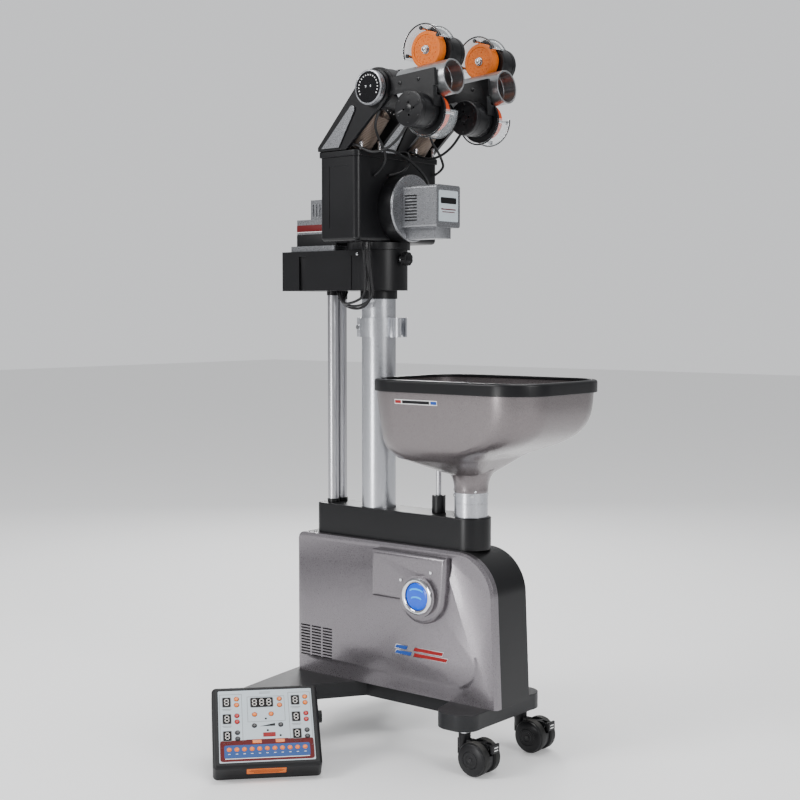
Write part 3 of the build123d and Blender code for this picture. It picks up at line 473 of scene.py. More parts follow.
# Dark print; the same colour also serves as painted shade behind the front vents and in the drive's slots.
DARK_INK_AND_SHADE = Finish("dark_ink_and_shade", (0.005, 0.005, 0.006), 0.4, depth=0.02, tone=0.05, dust=0.0, shine=0.2)
RED_INK = Finish("red_ink", (0.26, 0.005, 0.006), 0.4, depth=0.02, tone=0.08, dust=0.0)
DARK_RED_INK = Finish("dark_red_ink", (0.1, 0.004, 0.005), 0.4, depth=0.02, tone=0.08, dust=0.0, shine=0.2)
BLUE_INK = Finish("blue_ink", (0.01, 0.06, 0.3), 0.4, depth=0.02, tone=0.08, dust=0.0)
NAVY_INK = Finish("navy_ink", (0.02, 0.07, 0.24), 0.4, depth=0.02, tone=0.08, dust=0.0)
ORANGE_KEY = Finish("orange_key", (0.75, 0.16, 0.008), 0.3, coat=0.3, depth=0.03, tone=0.1, dust=0.0)
RED_KEY = Finish("red_key", (0.4, 0.008, 0.008), 0.3, coat=0.3, depth=0.03, tone=0.1, dust=0.0)
BLACK_KEY = Finish("black_key", (0.02, 0.02, 0.022), 0.3, coat=0.3, depth=0.03, tone=0.1, dust=0.0)
FILM_GREY = Finish("film_grey", (0.5, 0.56, 0.6), 0.38, depth=0.04, tone=0.06, scale=2500.0, dust=0.0)
DISPLAY_DARK = Finish("display_dark", (0.006, 0.005, 0.005), 0.3, depth=0.0, dust=0.0, shine=0.1)
SEGMENT = Finish("segment", (0.62, 0.6, 0.58), 0.4, depth=0.0, dust=0.0)
CHANNEL_GREY = Finish("channel_grey", (0.28, 0.29, 0.3), 0.45, dust=0.15)
SUPPLY_CASE = Finish("supply_case", (0.5, 0.5, 0.5), 0.4, 0.9, texture=GroupKind.BRUSH, along=(0.0, 0.0, 1.0))
DIVIDER_WHITE = Finish("divider_white", (0.6, 0.6, 0.57), 0.45, dust=0.1)
LEAD_BLACK = Finish("lead_black", (0.012, 0.012, 0.013), 0.38, scale=900.0, depth=0.1, dust=0.03)
FLOOR_PALE = Finish(
    "floor_pale", (0.86, 0.86, 0.86), 0.7, depth=0.02, tone=0.01, dust=0.0, scale=200.0, glow=0.2,
)


# ---------------------------------------------------------------- mesh tools

class Workshop:
    """Turns meshes into pieces of the model."""

    def __init__(self) -> None:
        """Starts an empty list of finished pieces."""
        self.pieces: list[bpy.types.Object] = []

    def piece(
        self, name: str, mesh: bpy.types.Mesh, finish: Finish, body: str, slot: str | None = None,
        sharp: float | None = 35.0,
    ) -> bpy.types.Object:
        """Makes an object from a mesh and puts it on its body.

        Args:
            name: Name of the piece.
            mesh: The mesh, in the row frame.
            finish: Its finish.
            body: The CAD body that it rides on.
            slot: Material slot of the record, if it has one; not used.
            sharp: Angle above which edges stay sharp, in degrees, or None to keep the mesh's own shading.

        Returns:
            The new object.
        """
        obj = bpy.data.objects.new(name, mesh)
        bpy.context.scene.collection.objects.link(obj)
        if sharp is not None:
            for polygon in mesh.polygons:
                polygon.use_smooth = True
            mesh.set_sharp_from_angle(angle=math.radians(sharp))
        mesh.materials.clear()
        mesh.materials.append(finish.material())
        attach(obj, body)
        self.pieces.append(obj)
        LOG.info("piece %s on %s", name, body)
        return obj

    def from_bmesh(
        self, name: str, shape: bmesh.types.BMesh, finish: Finish, body: str, **words: str | float | None
    ) -> bpy.types.Object:
        """Makes a piece from a bmesh and frees it.

        Args:
            name: Name of the piece.
            shape: The bmesh, in the row frame.
            finish: Its finish.
            body: The CAD body that it rides on.
            **words: Passed on to piece().

        Returns:
            The new object.
        """
        bmesh.ops.recalc_face_normals(shape, faces=shape.faces)
        mesh = bpy.data.meshes.new(name)
        shape.to_mesh(mesh)
        shape.free()
        return self.piece(name, mesh, finish, body, **words)

    def eased(self, node: str, finish: Finish, body: str, width: float, angle: float = 40.0) -> bpy.types.Object:
        """Replaces a CAD node with a copy whose edges are rounded off.

        Args:
            node: The CAD node.
            finish: Its finish.
            body: The body that it rides on.
            width: Width of the rounding, in metres.
            angle: Edges sharper than this are rounded, in degrees.

        Returns:
            The copy.
        """
        source = frame["nodes"][node].data
        slot = source.materials[0].name
        shape = bmesh.new()
        shape.from_mesh(source)
        bmesh.ops.remove_doubles(shape, verts=shape.verts, dist=2e-6)
        bmesh.ops.dissolve_limit(shape, angle_limit=math.radians(0.6), verts=shape.verts, edges=shape.edges)
        mesh = bpy.data.meshes.new(f"{node}_eased")
        shape.to_mesh(mesh)
        shape.free()
        for polygon in mesh.polygons:
            polygon.use_smooth = True
        mesh.set_sharp_from_angle(angle=math.radians(28.0))
        obj = bpy.data.objects.new(f"{node}_raw", mesh)
        bpy.context.scene.collection.objects.link(obj)
        rounding = obj.modifiers.new("rounding", "BEVEL")
        rounding.width = width
        rounding.segments = 2
        rounding.limit_method = "ANGLE"
        rounding.angle_limit = math.radians(angle)
        rounding.use_clamp_overlap = True
        rounding.harden_normals = True
        final = self.applied(obj)
        obj = self.piece(f"{node}_eased", final, finish, body, slot=slot, sharp=None)
        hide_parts(node)
        return obj

    @staticmethod
    def applied(obj: bpy.types.Object) -> bpy.types.Mesh:
        """Gives the mesh of an object with its modifiers applied, and removes the object.

        Args:
            obj: A scratch object.

        Returns:
            The applied mesh.
        """
        graph = bpy.context.evaluated_depsgraph_get()
        graph.update()
        mesh = bpy.data.meshes.new_from_object(obj.evaluated_get(graph), depsgraph=graph)
        bpy.data.objects.remove(obj)
        return mesh

    def curve_mesh(
        self, points: Sequence[Vector], radius: float, cyclic: bool = False, smooth: bool = True
    ) -> bpy.types.Mesh:
        """Round bar along a smooth curve through the given control points.

        Args:
            points: Control points.
            radius: Radius of the bar.
            cyclic: Whether the curve closes.
            smooth: A NURBS line if true, straight runs if false.

        Returns:
            The mesh of the bar.
        """
        data = bpy.data.curves.new("bar", "CURVE")
        data.dimensions = "3D"
        data.bevel_depth = radius
        data.bevel_resolution = 4
        data.resolution_u = 8
        data.use_fill_caps = True
        spline = data.splines.new("NURBS" if smooth else "POLY")
        spline.points.add(len(points) - 1)
        for place, point in zip(spline.points, points):
            place.co = (*point, 1.0)
        spline.use_cyclic_u = cyclic
        if smooth:
            spline.order_u = 3
            spline.use_endpoint_u = not cyclic
        obj = bpy.data.objects.new("bar", data)
        bpy.context.scene.collection.objects.link(obj)
        return self.applied(obj)


SHOP = Workshop()


def frame_axes(origin: Sequence[float], along: Sequence[float], up: Sequence[float] = (0.0, 0.0, 1.0)) -> Matrix:
    """Local frame whose Z runs along a direction.

    Args:
        origin: Its origin.
        along: Direction of its Z axis.
        up: Direction that its Y axis leans towards.

    Returns:
        The matrix from the local frame to the row frame.
    """
    z = Vector(along).normalized()
    x = Vector(up).cross(z)
    if x.length < 1e-6:
        x = Vector((1.0, 0.0, 0.0))
    x.normalize()
    y = z.cross(x)
    matrix = Matrix.Identity(4)
    for i in range(3):
        matrix[i][0], matrix[i][1], matrix[i][2], matrix[i][3] = x[i], y[i], z[i], origin[i]
    return matrix


def lathe(shape: bmesh.types.BMesh, place: Matrix, profile: Sequence[Pair], steps: int = 64) -> None:
    """Adds a turned form to a bmesh.

    Args:
        shape: The bmesh to add to.
        place: Local frame whose Z is the axis of turning.
        profile: Radius and height of each point, from one end to the other.
        steps: Number of steps round the axis.
    """
    rings = []
    for radius, height in profile:
        if radius < 1e-7:
            rings.append([shape.verts.new(place @ Vector((0.0, 0.0, height)))])
            continue
        angles = [math.tau * i / steps for i in range(steps)]
        rings.append([
            shape.verts.new(place @ Vector((radius * math.cos(a), radius * math.sin(a), height))) for a in angles
        ])
    for low, high in zip(rings, rings[1:]):
        for i in range(steps):
            j = (i + 1) % steps
            corners = [low[i % len(low)], low[j % len(low)], high[j % len(high)], high[i % len(high)]]
            unique = list(dict.fromkeys(corners))
            if len(unique) >= 3:
                shape.faces.new(unique)


def prism(shape: bmesh.types.BMesh, place: Matrix, outline: Sequence[Pair], height: float) -> None:
    """Adds a straight prism with a softened top edge to a bmesh.

    Args:
        shape: The bmesh to add to.
        place: Local frame whose Z is the prism's height.
        outline: Corners in the local XY plane.
        height: Height along local Z.
    """
    count = len(outline)
    middle_x = sum(p[0] for p in outline) / count
    middle_y = sum(p[1] for p in outline) / count
    span = max(math.hypot(x - middle_x, y - middle_y) for x, y in outline)
    ease = min(0.18 * height, 0.12 * span)
    rows = []
    for z, inset in ((0.0, 0.0), (height - ease, 0.0), (height, ease)):
        k = 1.0 - inset / span
        rows.append([
            shape.verts.new(place @ Vector((middle_x + (x - middle_x) * k, middle_y + (y - middle_y) * k, z)))
            for x, y in outline
        ])
    for low, high in zip(rows, rows[1:]):
        for i in range(count):
            j = (i + 1) % count
            shape.faces.new([low[i], low[j], high[j], high[i]])
    shape.faces.new(rows[0][::-1])
    shape.faces.new(rows[-1])


def rounded(width: float, depth: float, radius: float, steps: int = 5) -> list[Pair]:
    """Outline of a rectangle with rounded corners.

    Args:
        width: Size along X.
        depth: Size along Y.
        radius: Corner radius.
        steps: Steps in each corner.

    Returns:
        The corners, anticlockwise.
    """
    points = []
    for quarter, (sx, sy) in enumerate(((1, 1), (-1, 1), (-1, -1), (1, -1))):
        cx, cy = sx * (width / 2 - radius), sy * (depth / 2 - radius)
        for i in range(steps + 1):
            a = math.pi / 2 * (quarter + i / steps)
            points.append((cx + radius * math.cos(a), cy + radius * math.sin(a)))
    return points


def ring_points(radius: float, count: int, start: float = 0.0, sweep: float = math.tau) -> list[Pair]:
    """Points on a circle or an arc.

    Args:
        radius: Radius of the circle.
        count: Number of points.
        start: First angle.
        sweep: Angle covered; a full turn doesn't repeat the first point.

    Returns:
        The points.
    """
    last = count if abs(sweep - math.tau) < 1e-6 else count - 1
    angles = [start + sweep * i / last for i in range(count)]
    return [(radius * math.cos(a), radius * math.sin(a)) for a in angles]


def mm(*pairs: Pair) -> list[Pair]:
    """Turns pairs in millimetres into pairs in metres.

    Args:
        *pairs: The pairs, in millimetres.

    Returns:
        The same pairs, in metres.
    """
    return [(x * MM, y * MM) for x, y in pairs]


def upright(face_y: float) -> Matrix:
    """Local frame of a plane that faces -Y, with X and Y along the row's X and Z.

    Args:
        face_y: Where the plane stands.

    Returns:
        The matrix from the local frame to the row frame.
    """
    return Matrix(((1, 0, 0, 0), (0, 0, -1, face_y), (0, 1, 0, 0), (0, 0, 0, 1)))


def dress(node: str, finish: Finish) -> None:
    """Gives a CAD node a finish and leaves its shape alone.

    Args:
        node: The CAD node.
        finish: The finish.
    """
    obj = frame["nodes"][node]
    if not obj.data.materials:
        obj.data.materials.append(finish.material())
    for slot in obj.material_slots:
        slot.material = finish.material()


def joint_place(name: str) -> Vector:
    """Place of a joint at rest.

    Args:
        name: Name of the joint.

    Returns:
        Its point, in the row frame.
    """
    for joint in frame["joints"]:
        if joint["name"] == name:
            return Vector(joint["pos_m"])
    raise KeyError(name)


def corners(node: str) -> tuple[Vector, Vector]:
    """Lowest and highest corner of a CAD node.

    Args:
        node: The CAD node.

    Returns:
        The two corners.
    """
    low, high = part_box(node)
    return Vector(low), Vector(high)


class Screw:
    """Small screw with a domed head and a round recess."""

    def __init__(self, radius: float, height: float) -> None:
        """Keeps the head's sizes.

        Args:
            radius: Radius of the head.
            height: Height of the head.
        """
        self.radius = radius
        self.height = height

    def add(self, shape: bmesh.types.BMesh, place: Matrix) -> None:
        """Adds a domed head to a bmesh.

        Args:
            shape: The bmesh to add to.
            place: Local frame with Z out of the surface.
        """
        r, h = self.radius, self.height
        lathe(shape, place, [(0.0, 0.0), (r, 0.0), (r, 0.35 * h), (0.8 * r, 0.8 * h), (0.35 * r, h), (0.2 * r, h),
                             (0.14 * r, 0.55 * h), (0.0, 0.5 * h)], 20)


# ---------------------------------------------------------------- casters and foot frame

@dataclass
class Caster:
    """One twin-wheel caster with its brake pedal."""

    side: str
    wheel_r: float = 25.0 * MM

    def build(self) -> None:
        """Builds the wheels' covers, the hood's details and the pedal's marks."""
        for part, finish in (("caster_hood", BLACK_SATIN), ("brake_pedal", BLACK_GRAIN)):
            body = f"{self.side}_swivel" if part == "caster_hood" else f"{self.side}_brake"
            SHOP.eased(f"{self.side}_{part}", finish, body, 0.5 * MM)
        self._wheels()
        self._stem_washer()
        self._pedal_marks()

    def _wheels(self) -> None:
        """Turned wheels with a domed cover, a tread band and a hub cap."""
        axle = joint_place(f"{self.side}_wheel_roll")
        low, high = corners(f"{self.side}_caster_wheels")
        half = (high.y - low.y) / 2
        r = self.wheel_r
        inner = 6.1 * MM
        covers = bmesh.new()
        treads = bmesh.new()
        caps = bmesh.new()
        for sign in (-1, 1):
            place = frame_axes((axle.x, axle.y, axle.z), (0.0, float(sign), 0.0))
            lathe(covers, place, [(3.9 * MM, inner), (r - 2.5 * MM, inner), (r - 1.2 * MM, inner + 1.0 * MM),
                                  (r - 1.2 * MM, half - 4.5 * MM), (r - 2.2 * MM, half - 2.6 * MM),
                                  (r - 5.0 * MM, half - 1.2 * MM), (13.0 * MM, half - 0.5 * MM),
                                  (12.4 * MM, half - 1.1 * MM), (11.8 * MM, half - 0.5 * MM),
                                  (7.5 * MM, half - 0.2 * MM), (6.9 * MM, half - 0.8 * MM), (0.0, half - 0.6 * MM)])
            lathe(treads, place, [(r - 2.0 * MM, inner + 0.6 * MM), (r - 0.2 * MM, inner + 1.1 * MM),
                                  (r, inner + 2.0 * MM), (r, half - 6.5 * MM), (r - 0.3 * MM, half - 5.4 * MM),
                                  (r - 2.0 * MM, half - 4.9 * MM)], 72)
            lathe(caps, place, [(0.0, half - 0.7 * MM), (3.2 * MM, half - 0.7 * MM), (3.2 * MM, half - 0.2 * MM),
                                (2.6 * MM, half), (0.0, half)], 24)
        bar = frame_axes((axle.x, axle.y - 18 * MM, axle.z), (0.0, 1.0, 0.0))
        lathe(covers, bar, mm((0.0, 0.0), (3.95, 0.0), (3.95, 36), (0.0, 36)), 24)
        body = f"{self.side}_wheels"
        wheels = SHOP.from_bmesh(f"{self.side}_wheel_covers", covers, BLACK_SATIN, body, slot="caster_black")
        SHOP.from_bmesh(f"{self.side}_wheel_treads", treads, BLACK_RUBBER, body)
        SHOP.from_bmesh(f"{self.side}_hub_caps", caps, GLOSS_BLACK, body)
        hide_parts(f"{self.side}_caster_wheels")

    def _stem_washer(self) -> None:
        """Bright stem collar below the foot frame."""
        stem = joint_place(f"{self.side}_swivel_turn")
        shape = bmesh.new()
        place = frame_axes((stem.x, stem.y, stem.z - 6.6 * MM), (0.0, 0.0, 1.0))
        lathe(shape, place, mm((5.1, 0.0), (7.4, 0.0), (7.4, 2.2), (6.2, 2.6), (6.2, 6.0), (5.1, 6.0)), 32)
        SHOP.from_bmesh(f"{self.side}_stem_collar", shape, CHROME, f"{self.side}_swivel")

    def _pedal_marks(self) -> None:
        """Two pale bars moulded on the pedal's toe."""
        low, high = corners(f"{self.side}_brake_pedal")
        shape = bmesh.new()
        for k in (0.3, 0.62):
            z = low.z + (high.z - low.z) * k
            place = frame_axes((high.x - 0.05 * MM, (low.y + high.y) / 2, z), (1.0, 0.0, 0.0))
            prism(shape, place, rounded(9 * MM, 1.6 * MM, 0.7 * MM), 0.4 * MM)
        SHOP.from_bmesh(f"{self.side}_pedal_marks", shape, WHITE_INK, f"{self.side}_brake")


@dataclass
class FootFrame:
    """Foot frame with its ribs and pads."""

    def build(self) -> None:
        """Rounds the frame's edges and builds the casters."""
        SHOP.eased("base_frame", FOOT_GREY, "base", 3.2 * MM)
        for side in ("front_right", "back_right", "front_left", "back_left"):
            Caster(side).build()


# ---------------------------------------------------------------- body

@dataclass
class Cabinet:
    """Body with its covers, plinth, vents, badge and power button."""

    low: Vector = field(default_factory=lambda: corners("front_shell")[0])
    high: Vector = field(default_factory=lambda: corners("front_shell")[1])

    def build(self) -> None:
        """Builds every piece of the body."""
        SHOP.eased("front_shell", SILVER_PAINT, "base", 1.0 * MM)
        SHOP.eased("rear_shell", BLACK_SATIN, "base", 1.2 * MM)
        SHOP.eased("plinth", BLACK_SATIN, "base", 1.0 * MM)
        inner = (("ball_channel", CHANNEL_GREY), ("feed_wheel", BLACK_RUBBER), ("feed_motor", MOTOR_BLACK),
                 ("power_supply", SUPPLY_CASE))
        for node, finish in inner:
            dress(node, finish)
        self._vent_shade_sheet()
        self._badge()
        self._switch()

    def _vent_shade_sheet(self) -> None:
        """Painted shade behind the vent slots: a dark sheet with dark bars where the body's inside falls in shade."""
        place = frame_axes((self.low.x + 44 * MM, self.low.y + 5.4 * MM, self.low.z + 51 * MM), (0.0, -1.0, 0.0))
        shape = bmesh.new()
        prism(shape, place, rounded(76 * MM, 60 * MM, 2 * MM), 0.4 * MM)
        for row in range(24):
            bar = frame_axes((self.low.x + 44 * MM, self.low.y + 5.0 * MM, self.low.z + (23.5 + row * 2.4) * MM),
                             (0.0, -1.0, 0.0))
            prism(shape, bar, rounded(74 * MM, 0.7 * MM, 0.3 * MM), 0.5 * MM)
        SHOP.from_bmesh("vent_shade_sheet", shape, DARK_INK_AND_SHADE, "base")

    def _badge(self) -> None:
        """Generic raised badge: a blue and a red slanted bar, each with a pale edge."""
        left = self.low.x + 208 * MM
        z = self.low.z + 58.5 * MM
        lean = 3.0
        grow = ((-0.9 * MM, -0.8 * MM), (0.8 * MM, -0.8 * MM), (0.9 * MM, 0.8 * MM), (-0.8 * MM, 0.8 * MM))
        bars = (("badge_blue", BLUE_INK, 0.0, 30.0), ("badge_red", RED_INK, 36.0, 62.0))
        for name, finish, start, width in bars:
            shape = bmesh.new()
            edge = bmesh.new()
            for i, k in enumerate((0.0, 8.4)):
                outline = [(start * MM, 0.0), ((start + width - i * 8) * MM, 0.0),
                           ((start + width + lean - i * 8) * MM, 5.2 * MM), ((start + lean) * MM, 5.2 * MM)]
                moved = [(x + left, h + z + k * MM) for x, h in outline]
                place = upright(self.low.y)
                prism(shape, place, moved, 1.2 * MM)
                grown = [(x + dx, h + dh) for (x, h), (dx, dh) in zip(moved, grow)]
                prism(edge, place, grown, 0.7 * MM)
            SHOP.from_bmesh(name, shape, finish, "base")
            SHOP.from_bmesh(f"{name}_edge", edge, CHROME, "base")

    def _switch(self) -> None:
        """Bulge, chromed ring, lit button and a painted highlight on the button."""
        SHOP.eased("switch_boss", SILVER_PAINT, "base", 0.6 * MM)
        low, high = corners("power_button")
        centre = Vector(((low.x + high.x) / 2, low.y, (low.z + high.z) / 2))
        ring = bmesh.new()
        place = frame_axes(centre, (0.0, -1.0, 0.0))
        lathe(ring, place, mm(
            (21.1, -2.0), (21.3, 0.6), (22.2, 1.3), (25.2, 1.5), (27.0, 0.8), (27.8, -0.6), (27.8, -2.5),
        ), 96)
        SHOP.from_bmesh("button_ring_face", ring, CHROME, "base", slot="boss_silver")
        cap = bmesh.new()
        lathe(cap, place, mm(
            (0.0, 0.6), (6.0, 0.6), (14.0, 0.35), (18.5, -0.2), (20.4, -1.2), (20.8, -2.6), (20.8, -7.0),
            (0.0, -7.0),
        ), 96)
        button = SHOP.from_bmesh("power_button_lens", cap, LIT_BLUE, "power_button", slot="button_blue")
        stem = bmesh.new()
        lathe(stem, place, mm((0.0, -7.0), (5.0, -7.0), (5.0, -38.0), (0.0, -38.0)), 32)
        SHOP.from_bmesh("power_button_stem", stem, BLACK_SATIN, "power_button")
        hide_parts("power_button")
        # Painted highlight: two glowing pale arcs on the lens stand in for the light reflected in its dome.
        painted_glint = bmesh.new()
        for lift, span in ((8.0, 26.0), (-3.0, 20.0)):
            half_ring = ring_points(span / 2 * MM, 14, math.pi * 0.1, math.pi * 0.8)
            arc = [(x, y * 0.35 + lift * MM) for x, y in half_ring]
            inner = [(x, y - 2.4 * MM) for x, y in reversed(arc)]
            lifted = frame_axes(centre + Vector((0.0, -0.5 * MM, 0.0)), (0.0, -1.0, 0.0))
            strip(painted_glint, lifted, arc, list(reversed(inner)), 0.25 * MM)
        SHOP.from_bmesh("power_button_swirl", painted_glint, GLINT_BLUE, "power_button")


def strip(
    shape: bmesh.types.BMesh, place: Matrix, first: Sequence[Pair],
    second: Sequence[Pair], height: float,
) -> None:
    """Adds a flat band between two lines of points to a bmesh.

    Args:
        shape: The bmesh to add to.
        place: Local frame with Z out of the surface.
        first: Points of one edge.
        second: Points of the other edge, in the same order.
        height: Height of the band over the local XY plane.
    """
    rows = []
    for line, z in ((first, 0.0), (first, height), (second, height), (second, 0.0)):
        rows.append([shape.verts.new(place @ Vector((x, y, z))) for x, y in line])
    for low, high in zip(rows, rows[1:]):
        for i in range(len(low) - 1):
            shape.faces.new([low[i], low[i + 1], high[i + 1], high[i]])
    shape.faces.new([row[0] for row in rows])
    shape.faces.new([row[-1] for row in rows][::-1])


# ---------------------------------------------------------------- posts and tub

@dataclass
class PostStand:
    """Post, slim tubes, strap with its clip, and the head block."""

    def build(self) -> None:
        """Dresses the posts and builds the small parts."""
        dress("main_post", POST_SILVER)
        dress("side_tubes", BRUSHED_STEEL)
        SHOP.eased("bushings", BLACK_SATIN, "base", 0.5 * MM)
        SHOP.eased("post_clip", POST_SILVER, "base", 0.5 * MM)
        SHOP.eased("fixed_screws", CHROME, "base", 0.3 * MM)
        SHOP.eased("platform", BLACK_SATIN, "base", 1.0 * MM)
        SHOP.eased("clamp_knob", BLACK_GRAIN, "clamp_knob", 0.5 * MM)
        self._platform_screws()
        self._knob_trim()

    def _platform_screws(self) -> None:
        """Bright screw on each side of the block."""
        high = corners("platform")[1]
        shape = bmesh.new()
        head = Screw(2.6 * MM, 1.4 * MM)
        post = joint_place("turret_yaw")
        for side in (-1.0, 1.0):
            spot = (post.x - 6 * MM, post.y + side * 44.5 * MM, high.z - 6 * MM)
            head.add(shape, frame_axes(spot, (0.0, side, 0.0)))
        SHOP.from_bmesh("platform_screws", shape, CHROME, "base")

    def _knob_trim(self) -> None:
        """Bright bush and glossy cap of the clamp knob."""
        low, high = corners("clamp_knob")
        middle = (low.y + high.y) / 2
        bush = bmesh.new()
        place = frame_axes((high.x - 8.6 * MM, middle, (low.z + high.z) / 2), (1.0, 0.0, 0.0))
        lathe(bush, place, mm((4.2, 0.0), (7.0, 0.0), (7.0, -5.0), (4.2, -5.0)), 32)
        SHOP.from_bmesh("knob_bush", bush, CHROME, "clamp_knob")
        cap = bmesh.new()
        end = frame_axes((high.x, middle, (low.z + high.z) / 2), (1.0, 0.0, 0.0))
        lathe(cap, end, mm((0.0, 0.5), (4.0, 0.5), (6.5, 0.1), (6.5, -0.4)), 32)
        SHOP.from_bmesh("knob_cap", cap, GLOSS_BLACK, "clamp_knob")


@dataclass
class BallTub:
    """Ball tub with its lip, neck and printed strip."""

    def build(self) -> None:
        """Dresses the tub and builds its trim."""
        SHOP.eased("hopper", TUB_PAINT, "base", 0.5 * MM, 60.0)
        SHOP.eased("hopper_rim", BLACK_SATIN, "base", 0.8 * MM)
        SHOP.eased("hopper_neck", POST_SILVER, "base", 0.4 * MM)
        self._strip()
        self._funnel()

    def _strip(self) -> None:
        """Printed strip on the near side: pale field, dark bar, red and blue ends, with no lettering."""
        low, high = corners("hopper")
        solid = bmesh.new()
        solid.from_mesh(frame["nodes"]["hopper"].data)
        tub = BVHTree.FromBMesh(solid)
        solid.free()
        z0 = high.z - 31 * MM
        parts = (
            ("tub_strip_field", WHITE_INK, 0.0, 78.0, 0.0, 7.0, 0.3),
            ("tub_strip_bar", DARK_INK_AND_SHADE, 14.0, 50.0, 1.2, 4.6, 0.5),
            ("tub_strip_red", RED_INK, 1.0, 11.0, 1.2, 4.6, 0.5),
            ("tub_strip_blue", BLUE_INK, 66.0, 11.0, 1.2, 4.6, 0.5),
        )
        for name, finish, start, width, up, tall, proud in parts:
            shape = bmesh.new()
            columns = 10
            grid = []
            for i in range(columns + 1):
                x = low.x + (66.0 + start + width * i / columns) * MM
                column = []
                for k in range(3):
                    z = z0 + (up + tall * k / 2) * MM
                    where = tub.ray_cast(Vector((x, low.y - 0.05, z)), Vector((0.0, 1.0, 0.0)))[0]
                    column.append(shape.verts.new(where - Vector((0.0, proud * MM, 0.0))))
                grid.append(column)
            for left, right in zip(grid, grid[1:]):
                for a, b, c, d in zip(left, right, right[1:], left[1:]):
                    shape.faces.new([a, b, c, d])
            SHOP.from_bmesh(name, shape, finish, "base")

    def _funnel(self) -> None:
        """Flared collar where the tub is drawn down to its neck, and the collar's two screws."""
        low, high = corners("hopper_neck")
        axis = Vector(((low.x + high.x) / 2, (low.y + high.y) / 2, high.z))
        place = Matrix.Translation(axis)
        r = (high.x - low.x) / 2
        shape = bmesh.new()
        flare = [(r + 0.1 * MM, -24 * MM), (r + 0.5 * MM, -23.4 * MM)]
        flare += [(r + (0.6 + 13.0 * (k / 12) ** 2.4) * MM, (-20.0 + 2.6 * k) * MM) for k in range(13)]
        flare += [(r + 10.0 * MM, 12.0 * MM), (r + 1.0 * MM, -2.0 * MM)]
        lathe(shape, place, flare, 72)
        SHOP.from_bmesh("tub_funnel", shape, TUB_PAINT, "base", sharp=60.0)
        screws = bmesh.new()
        head = Screw(2.0 * MM, 1.2 * MM)
        for angle in (-150.0, -40.0, 90.0):
            x, y = math.cos(math.radians(angle)), math.sin(math.radians(angle))
            spot = axis + Vector((x * (r + 0.4 * MM), y * (r + 0.4 * MM), -21.0 * MM))
            head.add(screws, frame_axes(spot, (x, y, 0.0)))
        SHOP.from_bmesh("funnel_screws", screws, CHROME, "base")


@dataclass
class SweepUnit:
    """Motor unit on the head block that swings the turret."""

    def build(self) -> None:
        """Rounds the unit's edges and wraps its bands."""
        SHOP.eased("sweep_motor", DRIVE_SILVER, "base", 0.8 * MM)
        low, high = corners("sweep_motor")
        middle = (low.y + high.y) / 2
        left, right = low.x + 9 * MM, high.x
        bands = (("sweep_band_black", DARK_INK_AND_SHADE, 0.0, 22.0), ("sweep_band_line", WHITE_INK, 22.0, 1.0),
                 ("sweep_band_red", DARK_RED_INK, 23.0, 12.0))
        for name, finish, up, tall in bands:
            shape = bmesh.new()
            outline = [(x + (left + right) / 2, y + middle) for x, y in
                       rounded(right - left + 0.8 * MM, 58.8 * MM, 4.2 * MM)]
            place = Matrix.Translation((0.0, 0.0, low.z + (9.2 + up) * MM))
            prism(shape, place, outline, (tall - 0.1) * MM)
            SHOP.from_bmesh(name, shape, finish, "base")


# ---------------------------------------------------------------- turret

